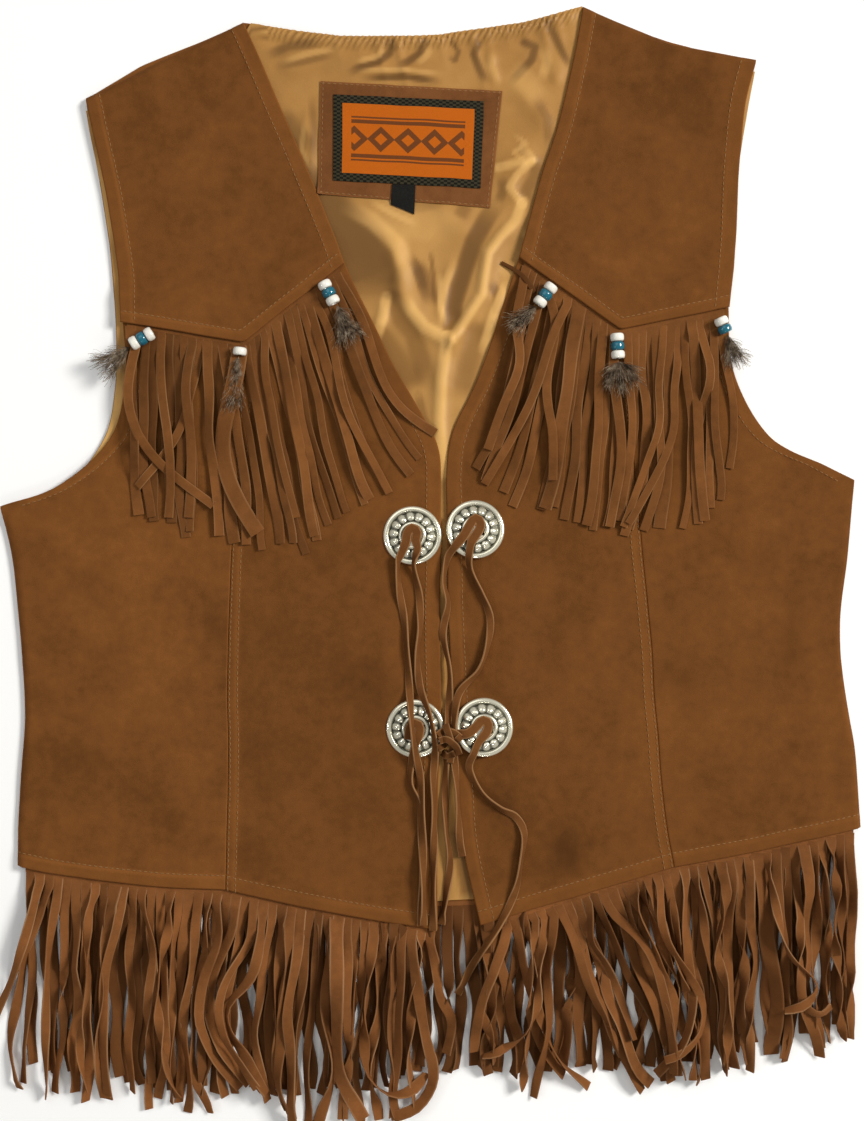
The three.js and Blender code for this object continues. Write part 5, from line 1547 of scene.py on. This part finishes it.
routes = {
    "lower_right": {
        "end": "bare", "plan": [(-16, 125.5), (-18, 112), (-19, 96), (-13, 80), (-12, 45), (-12.5, 3)]},
    "upper_right_outer": {
        "end": "bare", "plan": [
            (-23.4, 249.5), (-27.5, 238), (-26.5, 221), (-23, 201), (-21, 179), (-19.5, 150), (-17, 123),
            (-12.5, 98), (-11, 71), (-11, 39), (-10.5, 4)]},
    "upper_right_inner": {
        "end": "bare", "plan": [
            (-13.8, 250), (-17, 237), (-13.5, 218), (-13, 198), (-15, 179), (-13, 158), (-6.5, 140), (-3, 120),
            (-4.5, 98), (-4, 71), (-4, 32), (-4.5, 0)]},
    "upper_left_inner": {
        "end": "object", "plan": [
            (11, 251.5), (4.5, 241), (2.4, 226), (5, 212), (2, 192), (6.5, 166), (4.5, 126)]},
    "upper_left_outer": {
        "end": "object", "plan": [
            (19.4, 251), (19.2, 236), (27, 219), (32.5, 203), (31, 186), (25, 169), (12, 153), (8.4, 126)]},
    "knot_right": {
        "end": "bare", "seed": 6, "plan": [(5.0, 117), (3.5, 91), (4, 65), (6.5, 45), (4.5, 26), (1, 3)]},
    "knot_left": {"end": "bare", "seed": 7, "plan": [(8.8, 117), (11, 91), (12.5, 62), (14.5, 48)]},
    "lower_left": {
        "end": "bare", "plan": [
            (26, 124), (22, 116), (19, 105), (27, 90), (39, 79.5), (49, 74), (54.5, 63), (52.5, 45), (49, 26),
            (39, 5), (26, -13), (11.5, -42)]},
}


def pathLength(line):
    return float(np.sum(np.linalg.norm(np.diff(line, axis=0), axis=1)))


def laceLine(plan, quiet, seed):  # a line laid on the vest, and its turns, which stop where the lace is quiet
    count = max(18, int(pathLength(smoothLine(plan, 60)) / lace["step"]))
    plain = smoothLine(plan, count)
    reached = reachOf(plain)
    near = [int(np.argmin(np.linalg.norm(plain - p, axis=1))) for p in quiet]
    low, high = reached[near]
    away = np.maximum(np.maximum(low - reached, reached - high), 0)
    ends = ease(reached / 8 + (low < 1)) * ease((reached[-1] - reached) / 8 + (high > reached[-1] - 1))
    turns = math.radians(lace["twist"]) * np.sin(away / lace["wave"] + seed * 1.3) * ease(away / 10) * ends
    lift = settle(plain, lace["rest"], slope=0.55, clear=0.12)
    lift = lift + np.abs(np.sin(turns)) * lace["half"] * 0.8
    lift = lift + 0.5 * ((reached > low) & (reached < high))
    lift[1:-1] = (lift[:-2] + 2 * lift[1:-1] + lift[2:]) / 4
    wide = 1 + lace["swell"] * ease(np.minimum(reached - low, high - reached) / 5)
    return atHeight(plain, lift + lace["high"] / 2), turns, near, wide


def lacePiece(node, line, turns, span, wide):
    part = ribbon(line, lace["half"], lace["high"], turns, wide, span)
    return stripPiece(node, "_thong", [(*part, 0.05)], "thongSuede", "lace_leather")


def pressLace(line):
    relief.press(line - (0, 0, lace["high"] / 2), lace["press"], lace["high"])


def makeLacing(row):
    cx, cy = next(c["at"] for c in conchos if c["name"] == row["concho"])
    arch = [(cx + x, cy + y) for x, y in row["arch"]]
    first, last = (routes[name]["plan"][1:] if name else [] for name in row["tails"])
    line, turns, near, wide = laceLine(first[::-1] + arch + last, (arch[0], arch[-1]), cx * 0.1 + cy * 0.01)
    lacePiece(f"lace_loop_{row['concho']}", line, turns, near, wide)
    spans = [(0, near[0]), (near[1], len(line) - 1)]
    for name, span, onward in zip(row["tails"], spans, (-1, 1)):
        if name:
            piece = lacePiece(f"lace_{name}", line, turns, span, wide)
            line[span[0]:span[1] + 1][::onward]
    pressLace(line)


for row in lacings:
    makeLacing(row)
for name in ("knot_right", "knot_left"):
    plan = routes[name]["plan"]
    line, turns, near, wide = laceLine(plan, (plan[0], plan[0]), routes[name]["seed"])
    lacePiece(f"lace_{name}", line, turns, (0, len(line) - 1), wide)
    pressLace(line)

knotBands = [
    [(-1.5, 127.5), (2.5, 130), (8.5, 129.5), (13, 126)],
    [(-1, 119), (4, 121.5), (9, 123), (13.5, 127)],
    [(3.6, 134), (6, 127), (8, 119), (6.5, 109)],
    [(-0.5, 124), (4.5, 125), (10, 120.5), (12.5, 114.5)],
    [(1.5, 115), (5, 113.5), (9.5, 115.5)],
]


knot = {"half": 2.3, "high": 1.4, "steps": 18, "rest": 1.8, "press": 2.0, "pile": 0.9, "turn": 0.35}


def makeKnot(make):
    parts = []
    for plan in knotBands:
        plain = smoothLine(plan, make["steps"])
        lift = settle(plain, make["rest"], slope=1.3, clear=0.1)
        line = atHeight(plain, lift + make["high"] / 2)
        turns = make["turn"] * np.sin(np.linspace(0, 3, make["steps"]))
        parts.append((*ribbon(line, make["half"], make["high"], turns), 0.2))
        relief.press(line - (0, 0, make["high"] / 2), make["press"], make["pile"])
    return stripPiece("lace_knot", "_thong", parts, "thongSuede", "lace_leather")


makeKnot(knot)
print("laces tied")

# Dangles
dangles = table("name at way beads tuft", [  # a tuft's way, length and width
    ("right_inner", (-74.5, 418.5), -63, "wbw", (-68, 22, 10)),
    ("right_point", (-129.5, 375.5), -96, "w", (-96, 31, 6)),
    ("right_outer", (-188, 386.5), -150, "wbw", (-139, 20, 11)),
    ("left_inner", (71.5, 416.5), -127, "wbw", (-139, 18, 6), {"rise": 2.4}),
    ("left_point", (114.5, 384.5), -87, "wbw", (-83, 16, 11), {"flare": 1.0}),
    ("left_outer", (182, 395), -66, "wb", (-72, 16, 7)),
])
beadShape = {"radius": 4.5, "half": 2.65, "hole": 1.7, "spokes": 36}


def aimed(degrees):  # the ways along and across a direction in the plan
    turn = math.radians(degrees)
    return np.array([math.cos(turn), math.sin(turn), 0]), np.array([-math.sin(turn), math.cos(turn), 0])


def makeBead(node, middle, degrees, colour, make):
    r, h, hole = make["radius"], make["half"], make["hole"]
    arc = np.linspace(-1, 1, 11)
    outside = [(hole + (r - hole) * (1 - abs(k) ** 3.2 * 0.28), k * h * (1 - 0.06 * abs(k))) for k in arc]
    inside = [(hole + 0.35 * abs(k) ** 3, -k * h * 0.94) for k in arc[::2]]
    profile = np.array(outside + inside)
    a = np.linspace(0, 2 * math.pi, make["spokes"], endpoint=False)
    way, side = aimed(degrees)
    up = np.array([0, 0, 1])
    points = [middle + way * y + (side * math.cos(k) + up * math.sin(k)) * x for x, y in profile for k in a]
    n, m = len(profile), len(a)
    faces = [(i * m + j, i * m + (j + 1) % m, (i + 1) % n * m + (j + 1) % m, (i + 1) % n * m + j)
             for i in range(n) for j in range(m)]
    finish = "white" if colour == "w" else "turquoise"
    piece = closeMesh(f"{node}_glass", np.array(points), faces, finish)
    return dress(piece, node, "white_bead" if colour == "w" else "turquoise_bead")


def cadMiddle(node):
    low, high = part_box(node)
    return (np.array(low) + np.array(high)) / 2 * 1000 - shift


for row in dangles:
    for i, colour in enumerate(row["beads"]):
        node = f"bead_{row['name']}_{i + 1}"
        makeBead(node, cadMiddle(node), row["way"], colour, beadShape)
print("beads strung")


# Geometry Nodes: one tree of stitches and one of feather barbs
def newTree(name, inputs):
    tree = bpy.data.node_groups.new(name, "GeometryNodeTree")
    tree.interface.new_socket(name="Geometry", in_out="INPUT", socket_type="NodeSocketGeometry")
    tree.interface.new_socket(name="Geometry", in_out="OUTPUT", socket_type="NodeSocketGeometry")
    for label, kind, value in inputs:
        socket = tree.interface.new_socket(name=label, in_out="INPUT", socket_type=kind)
        if value is not None:
            socket.default_value = value
    return tree, tree.nodes.new("NodeGroupInput"), tree.nodes.new("NodeGroupOutput")


def treeNode(tree, kind, settings=None, sockets=None):
    made = tree.nodes.new(kind)
    for key, value in (settings or {}).items():
        setattr(made, key, value)
    for key, value in (sockets or {}).items():
        if isinstance(value, bpy.types.NodeSocket):
            tree.links.new(value, made.inputs[key])
        else:
            made.inputs[key].default_value = value
    return made


def stitchTree():
    tree, start, end = newTree("stitchRow", [
        ("Stitch length", "NodeSocketFloat", 0.0026), ("Stitch spacing", "NodeSocketFloat", 0.0034),
        ("Thread width", "NodeSocketFloat", 0.0007), ("Thread", "NodeSocketMaterial", None)])
    curve = treeNode(tree, "GeometryNodeMeshToCurve", sockets={"Mesh": start.outputs["Geometry"]})
    spaced = treeNode(tree, "GeometryNodeResampleCurve", {"mode": "LENGTH"}, {
        "Curve": curve.outputs[0], "Length": start.outputs["Stitch spacing"]})
    stitch = treeNode(tree, "GeometryNodeMeshUVSphere", sockets={"Segments": 6, "Rings": 5, "Radius": 0.5})
    wide, long = start.outputs["Thread width"], start.outputs["Stitch length"]
    size = treeNode(tree, "ShaderNodeCombineXYZ", sockets={0: wide, 1: wide, 2: long})
    shaped = treeNode(tree, "GeometryNodeTransform", sockets={
        "Geometry": stitch.outputs[0], "Scale": size.outputs[0]})
    tangent = treeNode(tree, "GeometryNodeInputTangent")
    aim = treeNode(tree, "FunctionNodeAlignEulerToVector", {"axis": "Z"}, {"Vector": tangent.outputs[0]})
    placed = treeNode(tree, "GeometryNodeInstanceOnPoints", sockets={
        "Points": spaced.outputs[0], "Instance": shaped.outputs[0], "Rotation": aim.outputs[0]})
    real = treeNode(tree, "GeometryNodeRealizeInstances", sockets={0: placed.outputs[0]})
    smooth = treeNode(tree, "GeometryNodeSetShadeSmooth", sockets={0: real.outputs[0]})
    done = treeNode(tree, "GeometryNodeSetMaterial", sockets={
        "Geometry": smooth.outputs[0], "Material": start.outputs["Thread"]})
    tree.links.new(done.outputs[0], end.inputs[0])
    return tree


def barbTree():
    tree, start, end = newTree("featherBarbs", [
        ("Barbs", "NodeSocketInt", 260), ("Barb length", "NodeSocketFloat", 0.011),
        ("Barb width", "NodeSocketFloat", 0.00022), ("Seed", "NodeSocketInt", 5),
        ("Down", "NodeSocketMaterial", None)])
    curve = treeNode(tree, "GeometryNodeMeshToCurve", sockets={"Mesh": start.outputs["Geometry"]})
    spaced = treeNode(tree, "GeometryNodeResampleCurve", {"mode": "COUNT"}, {
        "Curve": curve.outputs[0], "Count": start.outputs["Barbs"]})
    barb = treeNode(tree, "GeometryNodeCurvePrimitiveBezierSegment", sockets={
        "Resolution": 5, "Start": (0, 0, 0), "Start Handle": (0.0, 0, 0.4), "End Handle": (0.35, 0, 0.8),
        "End": (0.2, 0, 1.15)})
    ring = treeNode(tree, "GeometryNodeCurvePrimitiveCircle", sockets={"Resolution": 3, "Radius": 1.0})
    width = treeNode(tree, "ShaderNodeMath", {"operation": "DIVIDE"}, {
        0: start.outputs["Barb width"], 1: start.outputs["Barb length"]})
    thin = treeNode(tree, "GeometryNodeTransform", sockets={"Geometry": ring.outputs[0]})
    both = treeNode(tree, "ShaderNodeCombineXYZ", sockets={0: width.outputs[0], 1: width.outputs[0], 2: 1.0})
    tree.links.new(both.outputs[0], thin.inputs["Scale"])
    solid = treeNode(tree, "GeometryNodeCurveToMesh", sockets={
        "Curve": barb.outputs[0], "Profile Curve": thin.outputs[0], "Fill Caps": True})
    lean = treeNode(tree, "FunctionNodeRandomValue", {"data_type": "FLOAT_VECTOR"}, {
        "Min": (-1.0, -0.9, -3.14), "Max": (1.0, 0.9, 3.14), "Seed": start.outputs["Seed"]})
    tangent = treeNode(tree, "GeometryNodeInputTangent")
    aim = treeNode(tree, "FunctionNodeAlignEulerToVector", {"axis": "Z"}, {
        "Rotation": lean.outputs[0], "Vector": tangent.outputs[0], "Factor": 0.7})
    grow = treeNode(tree, "FunctionNodeRandomValue", {"data_type": "FLOAT"}, {"Seed": start.outputs["Seed"]})
    grow.inputs[2].default_value, grow.inputs[3].default_value = 0.3, 1.15
    size = treeNode(tree, "ShaderNodeMath", {"operation": "MULTIPLY"}, {
        0: grow.outputs[1], 1: start.outputs["Barb length"]})
    placed = treeNode(tree, "GeometryNodeInstanceOnPoints", sockets={
        "Points": spaced.outputs[0], "Instance": solid.outputs[0], "Rotation": aim.outputs[0],
        "Scale": size.outputs[0]})
    real = treeNode(tree, "GeometryNodeRealizeInstances", sockets={0: placed.outputs[0]})
    done = treeNode(tree, "GeometryNodeSetMaterial", sockets={
        "Geometry": real.outputs[0], "Material": start.outputs["Down"]})
    tree.links.new(done.outputs[0], end.inputs[0])
    return tree


def grown(name, runs, tree, values, finish):
    points, edges = [], []
    for run in runs:
        start = len(points)
        points.extend(metres(run).tolist())
        edges.extend((start + k, start + k + 1) for k in range(len(run) - 1))
    lines = bpy.data.meshes.new(name + "Lines")
    lines.from_pydata(points, edges, [])
    holder = bpy.data.objects.new(name + "Lines", lines)
    bpy.context.scene.collection.objects.link(holder)
    modifier = holder.modifiers.new("grow", "NODES")
    modifier.node_group = tree
    for item in tree.interface.items_tree:
        if item.in_out == "INPUT" and item.name in values:
            modifier[item.identifier] = values[item.name]
    mesh = bpy.data.meshes.new_from_object(holder.evaluated_get(bpy.context.evaluated_depsgraph_get()))
    mesh.name = name
    bpy.data.objects.remove(holder)
    if not len(mesh.materials):
        mesh.materials.append(finish)
    piece = bpy.data.objects.new(name, mesh)
    bpy.context.scene.collection.objects.link(piece)
    return piece


sewingThread = {"Stitch length": 0.0027, "Stitch spacing": 0.0036, "Thread width": 0.0008}
stitches = grown("topstitching", stitchRuns, stitchTree(), {
    **sewingThread, "Thread": finishes["thread"]}, finishes["thread"])
dress(stitches, None, "lace_leather")
print("stitches", len(stitches.data.polygons))

feather = {"Barbs": 210, "Barb width": 0.00010}
barbs = barbTree()


def quills(middle, row):  # three short quills, which a flare spreads to the sides
    degrees, long, wide = row["tuft"]
    ahead, side = aimed(degrees)
    runs = []
    for spread in (-0.5, 0, 0.5):
        flare = row.get("flare", 0.0) * abs(spread) * 2
        line = [middle - ahead * long * 0.5,
                middle - ahead * long * 0.2 * flare + side * spread * wide * (0.4 + 0.4 * flare),
                middle + ahead * long * (0.38 - 0.3 * flare) + side * spread * wide * (1 + 0.15 * flare)]
        runs.append(smoothLine(line, 14))
    return runs


for k, row in enumerate(dangles):
    node = f"tuft_{row['name']}"
    runs = quills(cadMiddle(node) + (0, 0, row.get("rise", 0)), row)
    tuft = grown(f"{node}_down", runs, barbs, {
        **feather, "Barb length": 0.007 + row["tuft"][2] * 0.0003, "Seed": 11 + k, "Down": finishes["down"]},
        finishes["down"])
    dress(tuft, node, "feather")
print("feathers tied")

# Floor
floorMesh = bpy.data.meshes.new("floor")
half = studio["floor"] / 2
corners = [(-half, -half), (half, -half), (half, half), (-half, half)]
floorMesh.from_pydata([(x, y, -0.0002) for x, y in corners], [], [(0, 1, 2, 3)])
floorMesh.materials.append(floorFinish())
floor = bpy.data.objects.new("floor", floorMesh)
bpy.context.scene.collection.objects.link(floor)

print("vest dressed")
